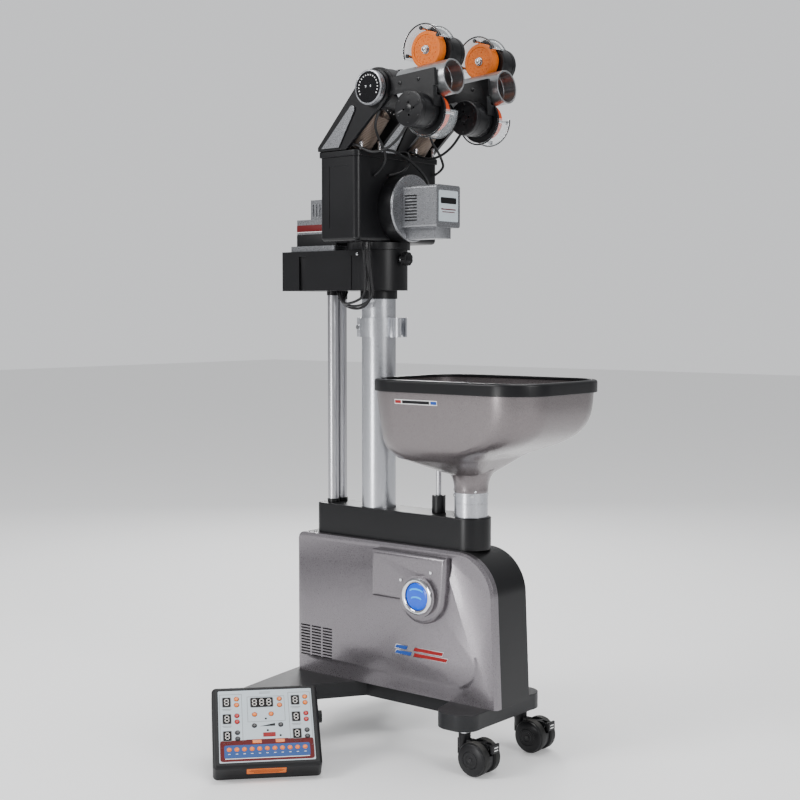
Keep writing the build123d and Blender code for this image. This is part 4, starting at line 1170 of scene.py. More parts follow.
@dataclass
class Turret:
    """Turret with its housing, arms, springs and drive."""

    wire: float = 1.15 * MM
    coil_r: float = 22.3 * MM
    steps: int = 16

    def build(self) -> None:
        """Builds every piece of the turret."""
        SHOP.eased("turret_housing", BLACK_SATIN, "turret", 0.8 * MM)
        SHOP.eased("turret_lid", BLACK_SATIN, "turret", 0.6 * MM)
        SHOP.eased("side_arms", BLACK_SATIN, "turret", 0.7 * MM)
        SHOP.eased("turret_screws", CHROME, "turret", 0.4 * MM)
        SHOP.eased("drive_cover", DRIVE_SILVER, "turret", 0.2 * MM, 60.0)
        dress("divider", DIVIDER_WHITE)
        dress("divider_motor", MOTOR_BLACK)
        self._springs()
        self._inlays()
        self._drive_slot_shade()
        self._label()

    def _springs(self) -> None:
        """Close-wound wire springs from the lid up to each head's drum."""
        low = corners("feed_springs")[0]
        meshes = []
        for name in ("near", "far"):
            pivot = joint_place(f"{name}_head_tilt")
            foot = Vector((low.x + 31.0 * MM, pivot.y, low.z))
            along = (pivot - foot).normalized()
            place = frame_axes(foot, along, (0.0, 1.0, 0.0))
            length = (pivot - foot).length - 34.9 * MM
            turns = int(length / (2.15 * self.wire))
            last = turns * self.steps
            points = []
            for i in range(last + 1):
                a = math.tau * i / self.steps
                points.append(
                    place @ Vector((self.coil_r * math.cos(a), self.coil_r * math.sin(a), length * i / last))
                )
            kept = [p for p in points if p.z > low.z + self.wire]
            meshes.append(SHOP.curve_mesh(kept, self.wire))
        shape = bmesh.new()
        for mesh in meshes:
            shape.from_mesh(mesh)
        # The coils' brown colour is a painted reflection of the room.
        coil = SHOP.from_bmesh("feed_spring_coils", shape, COIL_WIRE_REFLECTION, "turret", slot="spring_steel", sharp=80.0)
        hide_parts("feed_springs")

    def _inlays(self) -> None:
        """Silver wedge in a raised bright rim on each near side arm."""
        lid = corners("turret_lid")[1].z
        shape = bmesh.new()
        rim = bmesh.new()
        for name in ("near", "far"):
            pivot = joint_place(f"{name}_head_tilt")
            low_x, tip = pivot.x - 99 * MM, (pivot.x - 39 * MM, pivot.z - 28 * MM)
            place = upright(pivot.y - 38.3 * MM)
            outline = [(low_x, lid + 4 * MM), (low_x + 34 * MM, lid + 4 * MM)]
            outline += [(tip[0] + x, tip[1] + z) for x, z in ring_points(5 * MM, 9, -0.42, math.radians(175))]
            prism(shape, place, outline, 1.3 * MM)
            wide = [(low_x + (x - low_x) * 1.02 - 1.2 * MM, z * 1.0 + (1.4 * MM if i > 1 else -0.8 * MM))
                    for i, (x, z) in enumerate(outline)]
            prism(rim, place, wide, 0.7 * MM)
        SHOP.from_bmesh("arm_wedges", shape, DRIVE_SILVER, "turret", slot="arm_black")
        SHOP.from_bmesh("arm_wedge_rims", rim, CHROME, "turret")

    def _drive_slot_shade(self) -> None:
        """Painted shade in the vent slots on both sides of the drive's motor box: thin dark patches where the slots'
        insides fall in shade.
        """
        low, high = corners("drive_cover")
        middle = Vector((high.x - 48.5 * MM, (low.y + high.y) / 2, (low.z + high.z) / 2))
        shape = bmesh.new()
        for side in (-1.0, 1.0):
            for row in range(9):
                spot = middle + Vector((0.0, side * 28.95 * MM, (row * 4.6 - 20.4) * MM))
                prism(shape, frame_axes(spot, (0.0, side, 0.0)), rounded(23 * MM, 2.2 * MM, 0.4 * MM), 0.15 * MM)
        SHOP.from_bmesh("drive_slot_shade", shape, DARK_INK_AND_SHADE, "turret")

    def _label(self) -> None:
        """Plain plate on the drive's end: dark bar and thin red lines, with no lettering."""
        low, high = corners("drive_cover")
        middle = (low.y + high.y) / 2
        z = high.z - 51 * MM
        x = high.x - 0.1 * MM
        rows = (
            ("drive_plate", FILM_GREY, 0.0, 47.0, 46.0, 0.5),
            ("drive_plate_bar", DARK_INK_AND_SHADE, 8.0, 38.0, 9.0, 0.8),
            ("drive_plate_line", DARK_RED_INK, -5.0, 36.0, 1.6, 0.8),
            ("drive_plate_second", DARK_RED_INK, -9.0, 30.0, 1.2, 0.8),
        )
        for name, finish, up, wide, tall, proud in rows:
            shape = bmesh.new()
            place = frame_axes((x, middle, z + up * MM), (1.0, 0.0, 0.0))
            prism(shape, place, rounded(wide * MM, tall * MM, min(tall * 0.3, 2.0) * MM), proud * MM)
            SHOP.from_bmesh(name, shape, finish, "turret")


# ---------------------------------------------------------------- launcher heads

@dataclass
class LauncherHead:
    """One launcher head with its frame, tube, motors, wheels, dial and guards."""

    name: str
    pitch: float = math.radians(4.5)
    reach: float = 78.0 * MM
    offset: float = 45.0 * MM

    def __post_init__(self) -> None:
        """Finds the tilt axis and the local frame of the head."""
        self.pivot = joint_place(f"{self.name}_head_tilt")
        self.body = f"{self.name}_head"
        self.local = Matrix.Translation(self.pivot) @ Matrix.Rotation(-self.pitch, 4, "Y")

    def at(self, x: float, y: float, z: float) -> Vector:
        """Point of the head's local frame, in the row frame.

        Args:
            x: Along the tube.
            y: Across.
            z: Up from the tube.

        Returns:
            The point.
        """
        return self.local @ Vector((x, y, z))

    def out(self, x: float, y: float, z: float) -> Vector:
        """Direction of the head's local frame, in the row frame."""
        return self.local.to_3x3() @ Vector((x, y, z))

    def build(self) -> None:
        """Builds every piece of the head."""
        SHOP.eased(f"{self.name}_head_frame", CAST_BLACK, self.body, 0.6 * MM)
        SHOP.eased(f"{self.name}_ball_tube", TURNED_ALUMINIUM, self.body, 0.5 * MM, 60.0)
        SHOP.eased(f"{self.name}_launch_motors", MOTOR_BLACK, self.body, 0.4 * MM)
        self._wheel("lower", -1)
        self._wheel("upper", 1)
        self._dial()
        self._scale()
        self._guards()
        self._motor_trim()
        self._bar_screws()

    def _wheel(self, where: str, side: int) -> None:
        """Launch wheel: pimpled rubber tyre and face, steel hub and nut.

        Args:
            where: Which wheel.
            side: 1 for the upper wheel, -1 for the lower one.
        """
        body = f"{self.name}_{where}_wheel"
        centre = joint_place(f"{self.name}_{where}_wheel_spin")
        place = frame_axes(centre, self.out(0.0, float(-side), 0.0), self.out(0.0, 0.0, 1.0))
        # Painted shade: the lower wheel gets a redder copy of the same orange rubber.
        rubber = ORANGE_RUBBER if side > 0 else SHADED_ORANGE_RUBBER
        tyre = bmesh.new()
        lathe(tyre, place, mm(
            (6.4, -7.6), (24.5, -7.8), (26.4, -7.0), (26.8, -5.6), (26.5, -5.2), (26.9, -4.6), (26.9, 4.6),
            (26.5, 5.2), (26.8, 5.6), (26.3, 7.2), (24.3, 7.9), (21.6, 7.6), (20.6, 6.2), (9.0, 6.0),
            (8.4, 6.6), (6.4, 6.6),
        ), 96)
        wheel = SHOP.from_bmesh(f"{body}_tyre", tyre, rubber, body, slot="wheel_orange")
        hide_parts(body)
        dots = bmesh.new()
        for count, radius in ((10, 13.6 * MM), (16, 17.8 * MM)):
            for x, y in ring_points(radius, count):
                spot = place @ Matrix.Translation((x, y, 5.9 * MM))
                lathe(dots, spot, mm((1.25, 0.0), (1.1, 0.7), (0.6, 1.0), (0.0, 1.05)), 12)
        SHOP.from_bmesh(f"{body}_pimples", dots, rubber, body)
        hub = bmesh.new()
        lathe(hub, place, mm(
            (6.6, 5.8), (6.5, 7.2), (6.0, 7.6), (5.2, 7.6), (4.8, 8.0), (4.8, 9.4), (4.3, 9.9), (3.0, 9.9),
            (2.9, 11.2), (2.3, 11.6), (0.0, 11.6),
        ), 48)
        prism(hub, place @ Matrix.Translation((0, 0, 7.9 * MM)), ring_points(5.5 * MM, 6, 0.3), 3.0 * MM)
        lathe(hub, place, mm((9.2, -7.6), (9.2, -8.4), (2.95, -8.4), (2.95, -27.0), (0.0, -27.0)), 32)
        SHOP.from_bmesh(f"{body}_hub", hub, HUB_STEEL, body)

    def _dial(self) -> None:
        """Tilt dial: silver ring, dark face, pale dots and two screws."""
        body = self.body
        near_y = corners(f"{self.name}_tilt_dial")[0].y
        place = frame_axes((self.pivot.x, near_y, self.pivot.z), (0.0, -1.0, 0.0))
        ring = bmesh.new()
        lathe(ring, place, mm(
            (22.4, -1.4), (22.8, 0.0), (23.5, 0.3), (24.7, 0.0), (25.4, -0.9), (25.5, -4.0), (24.9, -4.4),
            (25.5, -4.8), (25.5, -9.6), (24.0, -10.0), (0.0, -10.0),
        ), 96)
        dial = SHOP.from_bmesh(f"{self.name}_dial_ring", ring, DRIVE_SILVER, body, slot="dial_black")
        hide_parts(f"{self.name}_tilt_dial")
        face = bmesh.new()
        lathe(face, place, mm((0.0, -0.5), (22.2, -0.5), (22.9, -1.5)), 96)
        SHOP.from_bmesh(f"{self.name}_dial_face", face, GLOSS_BLACK, body)
        marks = bmesh.new()
        for x, y in ring_points(17.8 * MM, 17, math.radians(-30), math.radians(240)):
            spot = place @ Matrix.Translation((x, y, -0.55 * MM))
            lathe(marks, spot, mm((1.05, 0.0), (0.95, 0.3), (0.0, 0.32)), 12)
        screws = bmesh.new()
        for x in (-4.6, 4.6):
            Screw(1.8 * MM, 0.8 * MM).add(screws, place @ Matrix.Translation((x * MM, 1.5 * MM, -0.5 * MM)))
        SHOP.from_bmesh(f"{self.name}_dial_screws", screws, HUB_STEEL, body)
        SHOP.from_bmesh(f"{self.name}_dial_marks", marks, WHITE_INK, body)

    def _scale(self) -> None:
        """Scale flange on the drum, with pale dots on its near face and thin black rings."""
        place = frame_axes(self.at(0.0, 0.0, 0.0), (0.0, -1.0, 0.0), (0.0, 0.0, 1.0))
        marks = bmesh.new()
        for x, y in ring_points(32.4 * MM, 30):
            spot = place @ Matrix.Translation((x, y, -22.95 * MM))
            lathe(marks, spot, mm((0.85, 0.0), (0.75, 0.25), (0.0, 0.3)), 10)
        SHOP.from_bmesh(f"{self.name}_scale_marks", marks, WHITE_INK, self.body)
        ring = bmesh.new()
        for height in (-23.6, -28.4):
            lathe(ring, place, [(33.8 * MM, (height - 0.4) * MM), (34.3 * MM, (height - 0.25) * MM),
                                (34.3 * MM, (height + 0.25) * MM), (33.8 * MM, (height + 0.4) * MM)], 96)
        for height in (24.0, 2.0):
            lathe(ring, place, [(30.9 * MM, (height - 0.9) * MM), (31.5 * MM, (height - 0.6) * MM),
                                (31.5 * MM, (height + 0.6) * MM), (30.9 * MM, (height + 0.9) * MM)], 96)
        SHOP.from_bmesh(f"{self.name}_drum_rings", ring, MOTOR_BLACK, self.body)

    def _guards(self) -> None:
        """Clear guards with dark lines along their edges that are painted shade, and bright stand-off posts with dark
        caps.
        """
        r0, r1 = 34.0 * MM, 36.5 * MM
        clear, edge, posts, caps = bmesh.new(), bmesh.new(), bmesh.new(), bmesh.new()
        for side, first, last, stands in ((1, 22, 195, (30, 95, 188)), (-1, -175, -3, (-10, -90, -168))):
            cx, cz = self.reach, side * self.offset
            y0, y1 = -side * 13.0 * MM, side * 16.0 * MM
            steps = 44
            rows = []
            for i in range(steps + 1):
                a = math.radians(first + (last - first) * i / steps)
                rows.append([self.at(cx + r * math.cos(a), y, cz + r * math.sin(a))
                             for r, y in ((r0, y0), (r1, y0), (r1, y1), (r0, y1))])
            made = [[clear.verts.new(p) for p in row] for row in rows]
            for a, b in zip(made, made[1:]):
                for i in range(4):
                    j = (i + 1) % 4
                    clear.faces.new([a[i], a[j], b[j], b[i]])
            clear.faces.new(made[0][::-1])
            clear.faces.new(made[-1])
            # Painted shade: dark lines along both edges of each clear guard, where the clear plastic looks dark.
            for y in (y0, y1):
                angles = [math.radians(first + (last - first) * i / steps) for i in range(steps + 1)]
                line = [self.at(cx + (r1 - 0.8 * MM) * math.cos(a), y, cz + (r1 - 0.8 * MM) * math.sin(a))
                        for a in angles]
                edge.from_mesh(SHOP.curve_mesh(line, 1.1 * MM))
            for angle in stands:
                a = math.radians(angle)
                px, pz = cx + 31.0 * MM * math.cos(a), cz + 31.0 * MM * math.sin(a)
                start, sign = self.at(px, side * 9.5 * MM, pz), -side
                place = frame_axes(start, self.out(0.0, float(sign), 0.0), self.out(0.0, 0.0, 1.0))
                lathe(posts, place, mm(
                    (0.0, 0.0), (2.2, 0.0), (2.2, 8.0), (1.7, 8.6), (1.7, 14.0), (2.2, 14.6), (2.2, 20.6),
                    (0.0, 20.6),
                ), 24)
                lathe(caps, place, mm((0.0, 20.4), (3.0, 20.4), (3.0, 21.8), (2.2, 22.4), (0.0, 22.4)), 24)
        guard = SHOP.from_bmesh(f"{self.name}_guard_shells", clear, CLEAR_GUARD, self.body, slot="guard_clear")
        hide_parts(f"{self.name}_guards")
        SHOP.from_bmesh(f"{self.name}_guard_edges", edge, GLOSS_BLACK, self.body)
        SHOP.from_bmesh(f"{self.name}_guard_posts", posts, CHROME, self.body)
        SHOP.from_bmesh(f"{self.name}_guard_caps", caps, BLACK_SATIN, self.body)

    def _motor_trim(self) -> None:
        """Seam rings, an end boss and rim screws on the motor cans."""
        rings, screws = bmesh.new(), bmesh.new()
        head = Screw(1.5 * MM, 0.8 * MM)
        for side in (-1, 1):
            base = self.at(self.reach, side * 55.0 * MM, side * self.offset)
            out = self.out(0.0, float(side), 0.0)
            place = frame_axes(base, out, self.out(0.0, 0.0, 1.0))
            for depth in (-8.0, -30.0):
                lathe(rings, place, [(25.2 * MM, (depth - 0.8) * MM), (25.9 * MM, (depth - 0.5) * MM),
                                     (25.9 * MM, (depth + 0.5) * MM), (25.2 * MM, (depth + 0.8) * MM)], 72)
            lathe(rings, place, mm((6.0, -0.2), (6.0, 0.5), (5.2, 0.8), (0.0, 0.8)), 32)
            for x, y in ring_points(20.5 * MM, 6, 0.4):
                head.add(screws, place @ Matrix.Translation((x, y, -0.05 * MM)))
        SHOP.from_bmesh(f"{self.name}_motor_rings", rings, MOTOR_BLACK, self.body)
        SHOP.from_bmesh(f"{self.name}_motor_screws", screws, MOTOR_BLACK, self.body)

    def _bar_screws(self) -> None:
        """Socket screws on both bracket bars."""
        shape = bmesh.new()
        head = Screw(3.0 * MM, 1.5 * MM)
        for side in (-1, 1):
            for x in (46.0, 80.0):
                spot = self.at(x * MM, side * 30.3 * MM, side * 0.5 * MM)
                head.add(shape, frame_axes(spot, self.out(0.0, float(side), 0.0), self.out(0.0, 0.0, 1.0)))
        SHOP.from_bmesh(f"{self.name}_bar_screws", shape, MOTOR_BLACK, self.body)


# ---------------------------------------------------------------- console

class Digit:
    """Seven-segment figure."""

    BARS = ((0, 1, 0), (-1, 0.5, 1), (1, 0.5, 1), (0, 0, 0), (-1, -0.5, 1), (1, -0.5, 1), (0, -1, 0))

    def __init__(self, width: float, height: float) -> None:
        """Keeps the size of the figure.

        Args:
            width: Width between the upright bars.
            height: Height between the level bars.
        """
        self.width = width
        self.height = height

    def add(self, shape: bmesh.types.BMesh, place: Matrix) -> None:
        """Adds the seven bars to a bmesh.

        Args:
            shape: The bmesh to add to.
            place: Local frame centred on the figure, with Z out of the display.
        """
        thick = 0.13 * self.height
        for x, y, upright in self.BARS:
            w, h = (thick, self.height / 2 - thick) if upright else (self.width - thick, thick)
            spot = place @ Matrix.Translation((x * self.width / 2, y * self.height / 2, 0.0))
            prism(shape, spot, rounded(w, h, 0.3 * thick, 2), 0.15 * MM)


@dataclass
class Console:
    """Control console with its printed film, keys and displays."""

    width: float = 155.0 * MM
    depth: float = 134.0 * MM
    thick: float = 32.0 * MM
    tilt: float = math.radians(42.0)
    yaw: float = math.radians(47.8)

    def __post_init__(self) -> None:
        """Finds the console's own frame from its printed panel."""
        low, high = corners("console_panel")
        turn = Matrix.Rotation(self.yaw, 4, "Z") @ Matrix.Rotation(self.tilt, 4, "X")
        foot = (low + high) / 2 - turn @ Vector((0.0, self.depth / 2 + 0.5 * MM, self.thick - 0.2 * MM))
        self.local = Matrix.Translation(foot) @ turn
        self.layers: dict[Finish, bmesh.types.BMesh] = {}

    def build(self) -> None:
        """Builds the case, the film and everything printed or set in it."""
        SHOP.eased("console_case", BLACK_GRAIN, "console", 1.2 * MM)
        outline = rounded(136.4 * MM, 118.4 * MM, 1.5 * MM, 3)
        prism(self._layer(FILM_GREY), self.spot(0.0, 0.0, 0.0), outline, 0.5 * MM)
        film = self._flush("console_film", slot="console_film")
        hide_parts("console_panel")
        self._side_column(-50.0)
        self._side_column(50.0)
        self._middle()
        self._bottom()
        self._flush("console")
        self._front_label()

    def _layer(self, finish: Finish) -> bmesh.types.BMesh:
        """Gives the bmesh that gathers everything of one finish.

        Args:
            finish: The finish.

        Returns:
            Its bmesh.
        """
        if finish not in self.layers:
            self.layers[finish] = bmesh.new()
        return self.layers[finish]

    def _flush(self, prefix: str, slot: str | None = None) -> list[bpy.types.Object]:
        """Turns the gathered layers into pieces.

        Args:
            prefix: First word of the pieces' names.
            slot: Material slot of the record, if they have one.

        Returns:
            The pieces.
        """
        made = [SHOP.from_bmesh(f"{prefix}_{finish.name}", shape, finish, "console", slot=slot)
                for finish, shape in self.layers.items()]
        self.layers = {}
        return made

    def spot(self, x: float, y: float, lift: float) -> Matrix:
        """Local frame on the console's face.

        Args:
            x: To the right of the face's middle, in millimetres.
            y: Up from the face's middle, in millimetres.
            lift: Height over the film's seat, in millimetres.

        Returns:
            The frame, with Z out of the face.
        """
        middle = self.depth / 2 + 0.5 * MM
        return self.local @ Matrix.Translation((x * MM, middle + y * MM, self.thick + (lift - 0.8) * MM))

    def _field(
        self, finish: Finish, x: float, y: float, wide: float, tall: float, proud: float, lift: float = 0.45
    ) -> None:
        """Printed field on the face.

        Args:
            finish: Its finish.
            x: To the right of the middle, in millimetres.
            y: Up from the middle, in millimetres.
            wide: Width, in millimetres.
            tall: Height, in millimetres.
            proud: Thickness, in millimetres.
            lift: Height of its underside, in millimetres.
        """
        radius = min(wide, tall) * 0.12
        outline = rounded(wide * MM, tall * MM, radius * MM, 3)
        prism(self._layer(finish), self.spot(x, y, lift), outline, proud * MM)

    def _key(self, finish: Finish, x: float, y: float, radius: float = 3.3) -> None:
        """Round raised key with a thin dark rim.

        Args:
            finish: Its finish.
            x: To the right of the middle, in millimetres.
            y: Up from the middle, in millimetres.
            radius: Its radius, in millimetres.
        """
        r = radius * MM
        rim = [(r + 0.6 * MM, 0.0), (r + 0.6 * MM, 0.2 * MM), (0.0, 0.2 * MM)]
        cap = [(r, 0.0), (r, 0.5 * MM), (0.8 * r, 0.85 * MM), (0.5 * r, 0.9 * MM), (0.0, 0.8 * MM)]
        lathe(self._layer(DARK_INK_AND_SHADE), self.spot(x, y, 0.45), rim, 28)
        lathe(self._layer(finish), self.spot(x, y, 0.6), cap, 28)

    def _display(self, x: float, y: float, figures: int) -> None:
        """Dark window with pale seven-segment figures.

        Args:
            x: To the right of the middle, in millimetres.
            y: Up from the middle, in millimetres.
            figures: Number of figures.
        """
        step = 10.5
        self._field(GREY_INK, x, y, step * figures + 2.6, 17.0, 0.2)
        self._field(DISPLAY_DARK, x, y, step * figures + 1.0, 15.4, 0.4)
        for i in range(figures):
            place = self.spot(x + (i - (figures - 1) / 2) * step, y, 0.85)
            Digit(5.2 * MM, 10.0 * MM).add(self._layer(SEGMENT), place)

    def _side_column(self, x: float) -> None:
        """Column of three displays, each with a pair of keys.

        Args:
            x: Middle of the column, in millimetres.
        """
        self._frame(x, 9.0, 32.0, 88.0)
        shift = -6.0
        for y, finish in ((40.0, ORANGE_KEY), (12.0, RED_KEY), (-16.0, BLACK_KEY)):
            self._display(x + shift, y, 1)
            self._key(finish, x + shift + 14.5, y + 5.0)
            self._key(finish, x + shift + 14.5, y - 5.0)
            self._field(GREY_INK, x + shift, y - 11.6, 14.0, 0.9, 0.12)
            self._field(GREY_INK, x + shift, y - 13.6, 11.0, 0.7, 0.12)

    def _frame(self, x: float, y: float, wide: float, tall: float) -> None:
        """Thin printed frame line.

        Args:
            x: Middle, in millimetres.
            y: Middle, in millimetres.
            wide: Width, in millimetres.
            tall: Height, in millimetres.
        """
        line = 0.6
        for dx, dy, w, h in ((0, tall / 2, wide, line), (0, -tall / 2, wide, line),
                             (wide / 2, 0, line, tall), (-wide / 2, 0, line, tall)):
            self._field(GREY_INK, x + dx, y + dy, w, h, 0.12)

    def _middle(self) -> None:
        """Three-figure display with its keys, the ramp and the small red window."""
        self._frame(1.0, 27.0, 54.0, 42.0)
        self._display(-5.0, 38.0, 3)
        for x, y in ((21.0, 43.0), (21.0, 32.5), (-16.0, 18.0), (8.0, 18.0)):
            self._key(ORANGE_KEY, x, y)
        for x in (-17.0, 21.0):
            self._key(BLACK_KEY, x, -0.5)
        ramp = [(-9.0, -2.0), (13.0, -2.0), (13.0, 2.6)]
        prism(self._layer(DARK_INK_AND_SHADE), self.spot(0.0, 0.0, 0.45), [(x * MM, y * MM) for x, y in ramp], 0.2 * MM)
        self._field(RED_INK, 4.0, -16.0, 18.0, 7.0, 0.35)
        for x, y in ((0.0, 10.5), (2.0, -9.0), (20.0, -18.0)):
            self._key(DARK_INK_AND_SHADE, x, y, 1.0)
        for y in (55.5, 53.4):
            self._field(GREY_INK, 0.0, y, 16.0, 0.8, 0.12)

    def _bottom(self) -> None:
        """Dark red band with two oblong keys, and the blue strip with its row of round keys."""
        self._field(DARK_RED_INK, 0.0, -40.5, 134.0, 34.0, 0.12, 0.45)
        self._field(DARK_RED_INK, 1.0, -27.0, 60.0, 8.0, 0.25)
        for x in (-14.0, 19.0):
            self._field(ORANGE_KEY, x, -26.8, 13.0, 5.6, 0.7)
        self._field(NAVY_INK, 0.0, -42.0, 122.0, 21.0, 0.35)
        for i in range(11):
            x = (i - 5) * 10.8
            self._key(ORANGE_KEY, x, -38.5, 3.4)
            self._field(WHITE_INK, x, -45.8, 3.2, 0.9, 0.12, 0.8)
        self._field(WHITE_INK, 0.0, -53.0, 120.0, 1.2, 0.2)

    def _front_label(self) -> None:
        """Orange strip with dark lines on the case's lower edge, with no lettering."""
        face = self.local @ Matrix.Translation((-2.0 * MM, 0.0, 20.5 * MM))
        place = face @ Matrix.Rotation(math.radians(90), 4, "X")
        shape = bmesh.new()
        prism(shape, place, rounded(56 * MM, 13 * MM, 1.0 * MM, 3), 0.35 * MM)
        SHOP.from_bmesh("console_label", shape, ORANGE_KEY, "console")
        lines = bmesh.new()
        for y, wide in ((3.6, 44.0), (1.2, 50.0), (-1.2, 46.0), (-3.6, 36.0)):
            spot = place @ Matrix.Translation((0.0, y * MM, 0.2 * MM))
            prism(lines, spot, rounded(wide * MM, 0.7 * MM, 0.2 * MM, 2), 0.3 * MM)
        SHOP.from_bmesh("console_label_lines", lines, DARK_RED_INK, "console")


# ---------------------------------------------------------------- leads

class Loom(Enum):
    """Which node a bunch of leads stands for, and the joint's two bodies that it runs between."""

    NEAR = ("near_leads", "turret", "near_head")
    FAR = ("far_leads", "turret", "far_head")
    YAW = ("yaw_leads", "base", "turret")


@dataclass
class Leads:
    """Round leads along their routes; the points are the corners of each route, in millimetres."""

    radius: float = 2.0 * MM
    post: Vector = field(default_factory=lambda: joint_place("turret_yaw"))

    NEAR = (
        ((80, -92.8, 958), (71, -92.8, 943), (61, -78, 928), (59, -57, 908), (54, -46, 884), (42, -60, 868)),
        ((6, -93.2, 907.6), (30, -93.2, 915), (50, -93.2, 904), (68, -90, 898), (92, -90, 902), (113, -91, 914),
         (127, -94, 926), (137.4, -100, 932.4)),
        ((26, -38, 907.6), (46, -30, 911), (52, 0, 900), (54, 24, 889), (56, 44, 874), (52, 60, 862), (42.5, 70, 856)),
        ((42, -26, 871), (47, -14, 873), (51, 0, 879), (52, 10, 889), (49, 17, 903), (38, 21, 911), (20, 16, 907.8)),
    )
    FAR = (
        ((80, 37.2, 958), (71, 37.2, 943), (62, 52, 928), (60, 72, 914), (53, 92, 902), (54, 96, 888), (42.5, 84, 878)),
        ((6, 36.8, 907.6), (30, 36.8, 915), (50, 36.8, 904), (68, 40, 898), (92, 40, 902), (113, 39, 914),
         (127, 36, 926), (137.4, 30, 932.4)),
    )
    YAW = (
        ((30, -58, 769), (32, -60, 745), (38, -62, 712), (40, -60, 688), (22, -62, 674), (-10, -58, 672),
         (-38, -46, 680), (-54, -30, 695)),
        ((24, -62, 769), (27, -66, 745), (32, -68, 712), (28, -66, 688), (4, -64, 678), (-26, -54, 676),
         (-42, -34, 684), (-48, -20, 695)),
        ((18, -58, 769), (22, -62, 745), (34, -64, 712), (34, -58, 684), (14, -56, 668), (-18, -52, 670),
         (-46, -38, 682), (-64, -24, 695)),
    )

    def build(self) -> None:
        """Builds every lead; those that cross a joint are left on no body."""
        self._run(Loom.NEAR, self.NEAR, (0, 1))
        self._run(Loom.FAR, self.FAR, (0, 1))
        self._run(Loom.YAW, self.YAW, (0, 1, 2))

    def _run(self, loom: Loom, routes: Sequence[Sequence[Point]], bending: Iterable[int]) -> None:
        """Builds the leads of one bunch.

        Args:
            loom: The bunch.
            routes: Corners of each route, in millimetres from the post's foot.
            bending: Numbers of the leads that cross the joint.
        """
        node, first, second = loom.value
        shift = Vector((self.post.x, self.post.y, 0.0))
        for number, route in enumerate(routes):
            points = [shift + Vector(p) * MM for p in route]
            mesh = SHOP.curve_mesh(points, self.radius)
            name = f"{node}_{number + 1}"
            if number in bending:
                obj = bpy.data.objects.new(name, mesh)
                bpy.context.scene.collection.objects.link(obj)
                for polygon in mesh.polygons:
                    polygon.use_smooth = True
                mesh.materials.clear()
                mesh.materials.append(LEAD_BLACK.material())
                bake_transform(obj)
                LOG.info("lead %s bends between %s and %s", name, first, second)
            else:
                obj = SHOP.piece(name, mesh, LEAD_BLACK, first, slot="lead_black")
            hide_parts(node)

    @staticmethod
    def _ends(points: Sequence[Vector]) -> tuple[Point, Point]:
        """Where a lead leaves the first body and joins the second.

        Args:
            points: Control points of the lead.

        Returns:
            The two points.
        """
        low = min(points, key=lambda p: p.z)
        high = max(points, key=lambda p: p.z)
        return tuple(low), tuple(high)


# ---------------------------------------------------------------- studio

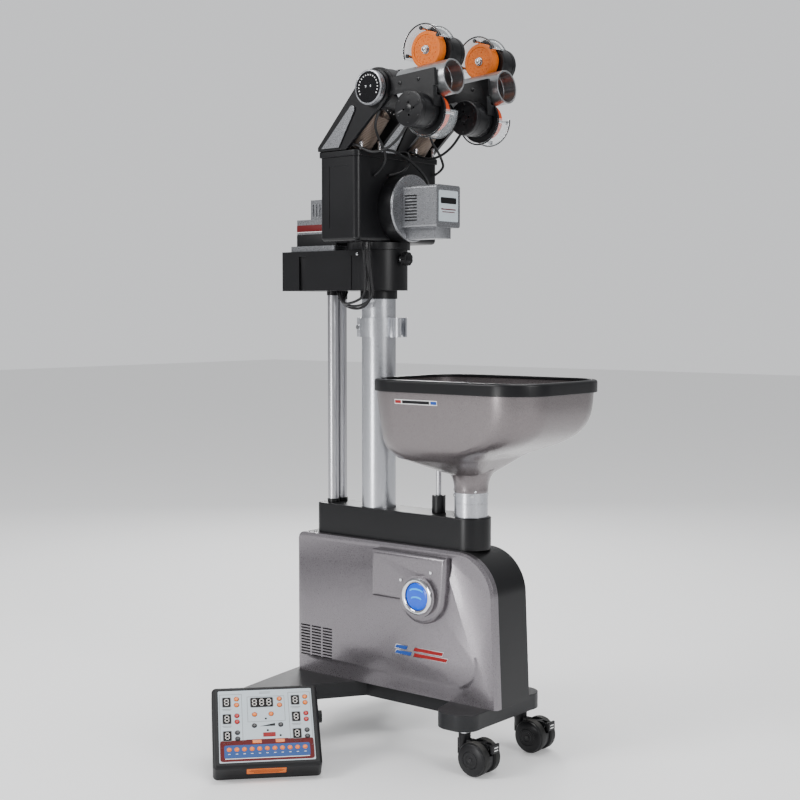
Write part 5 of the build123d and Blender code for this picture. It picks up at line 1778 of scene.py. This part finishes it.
@dataclass
class Studio:
    """Floor, lights and camera."""

    eye: Point = (1.34626, -1.65232, 0.66836)
    heading: float = math.radians(39.34)
    dip: float = math.radians(3.645)
    lens: float = 64.26

    def build(self) -> None:
        """Builds the stage."""
        self._floor()
        self._world()
        self._light("key", (-1.2, -2.4, 2.2), (0.0, 0.0, 0.6), 1.1, 62.0)
        self._light("front", (-0.3, -2.3, 0.3), (0.0, 0.0, 0.3), 0.4, 14.0)
        self._light("fill", (2.6, -0.5, 1.3), (0.0, 0.0, 0.5), 0.8, 26.0)
        self._light("top", (0.3, 0.3, 2.8), (0.0, 0.0, 0.5), 1.4, 45.0)
        self._light("rim", (-1.6, 1.7, 1.4), (0.0, 0.0, 0.7), 0.6, 22.0)
        self._camera()

    def _floor(self) -> None:
        """Plain pale floor under the object."""
        shape = bmesh.new()
        size, depth, steps = 24.0, -0.0004, 12
        marks = [size * (i / steps - 0.5) for i in range(steps + 1)]
        grid = [[shape.verts.new((x, y, depth)) for y in marks] for x in marks]
        for i in range(steps):
            for j in range(steps):
                shape.faces.new([grid[i][j], grid[i + 1][j], grid[i + 1][j + 1], grid[i][j + 1]])
        mesh = bpy.data.meshes.new("floor")
        shape.to_mesh(mesh)
        shape.free()
        mesh.materials.append(FLOOR_PALE.material())
        obj = bpy.data.objects.new("floor", mesh)
        bpy.context.scene.collection.objects.link(obj)

    def _world(self) -> None:
        """White behind the object, and light that grows toward the zenith."""
        world = bpy.data.worlds.new("studio")
        bpy.context.scene.world = world
        world.use_nodes = True
        tree = world.node_tree
        background = tree.nodes["Background"]
        background.inputs["Color"].default_value = (0.95, 0.96, 0.98, 1.0)
        place = tree.nodes.new("ShaderNodeTexCoord")
        split = tree.nodes.new("ShaderNodeSeparateXYZ")
        rise = tree.nodes.new("ShaderNodeMapRange")
        rise.inputs["From Min"].default_value = -0.1
        rise.inputs["From Max"].default_value = 0.9
        rise.inputs["To Min"].default_value = 0.2
        rise.inputs["To Max"].default_value = 0.8
        path = tree.nodes.new("ShaderNodeLightPath")
        seen = tree.nodes.new("ShaderNodeMix")
        seen.inputs["B"].default_value = 0.9
        tree.links.new(place.outputs["Generated"], split.inputs["Vector"])
        tree.links.new(split.outputs["Z"], rise.inputs["Value"])
        tree.links.new(path.outputs["Is Camera Ray"], seen.inputs["Factor"])
        tree.links.new(rise.outputs["Result"], seen.inputs["A"])
        tree.links.new(seen.outputs["Result"], background.inputs["Strength"])

    def _light(self, name: str, place: Point, aim: Point, size: float, power: float) -> None:
        """Soft square light.

        Args:
            name: Its name.
            place: Where it stands.
            aim: The point that it looks at.
            size: Its side.
            power: Its power, in watts.
        """
        data = bpy.data.lights.new(name, "AREA")
        data.size = size
        data.energy = power
        obj = bpy.data.objects.new(name, data)
        obj.location = place
        obj.rotation_euler = (Vector(aim) - Vector(place)).to_track_quat("-Z", "Y").to_euler()
        bpy.context.scene.collection.objects.link(obj)

    def _camera(self) -> None:
        """Camera at the height of the turret, looking slightly down."""
        data = bpy.data.cameras.new("camera")
        data.lens = self.lens
        data.sensor_width = 36.0
        data.clip_start = 0.05
        obj = bpy.data.objects.new("camera", data)
        obj.location = self.eye
        obj.rotation_euler = (math.pi / 2 - self.dip, 0.0, self.heading)
        bpy.context.scene.collection.objects.link(obj)
        bpy.context.scene.camera = obj


def main() -> None:
    """Builds the stage and every sub-assembly in order."""
    logging.basicConfig(level=logging.INFO, format="%(message)s")
    Studio().build()
    Leads().build()
    FootFrame().build()
    Cabinet().build()
    PostStand().build()
    BallTub().build()
    SweepUnit().build()
    Turret().build()
    for name in ("near", "far"):
        LauncherHead(name).build()
    Console().build()
    LOG.info("%d pieces", len(SHOP.pieces))


if __name__ == "__main__":
    main()
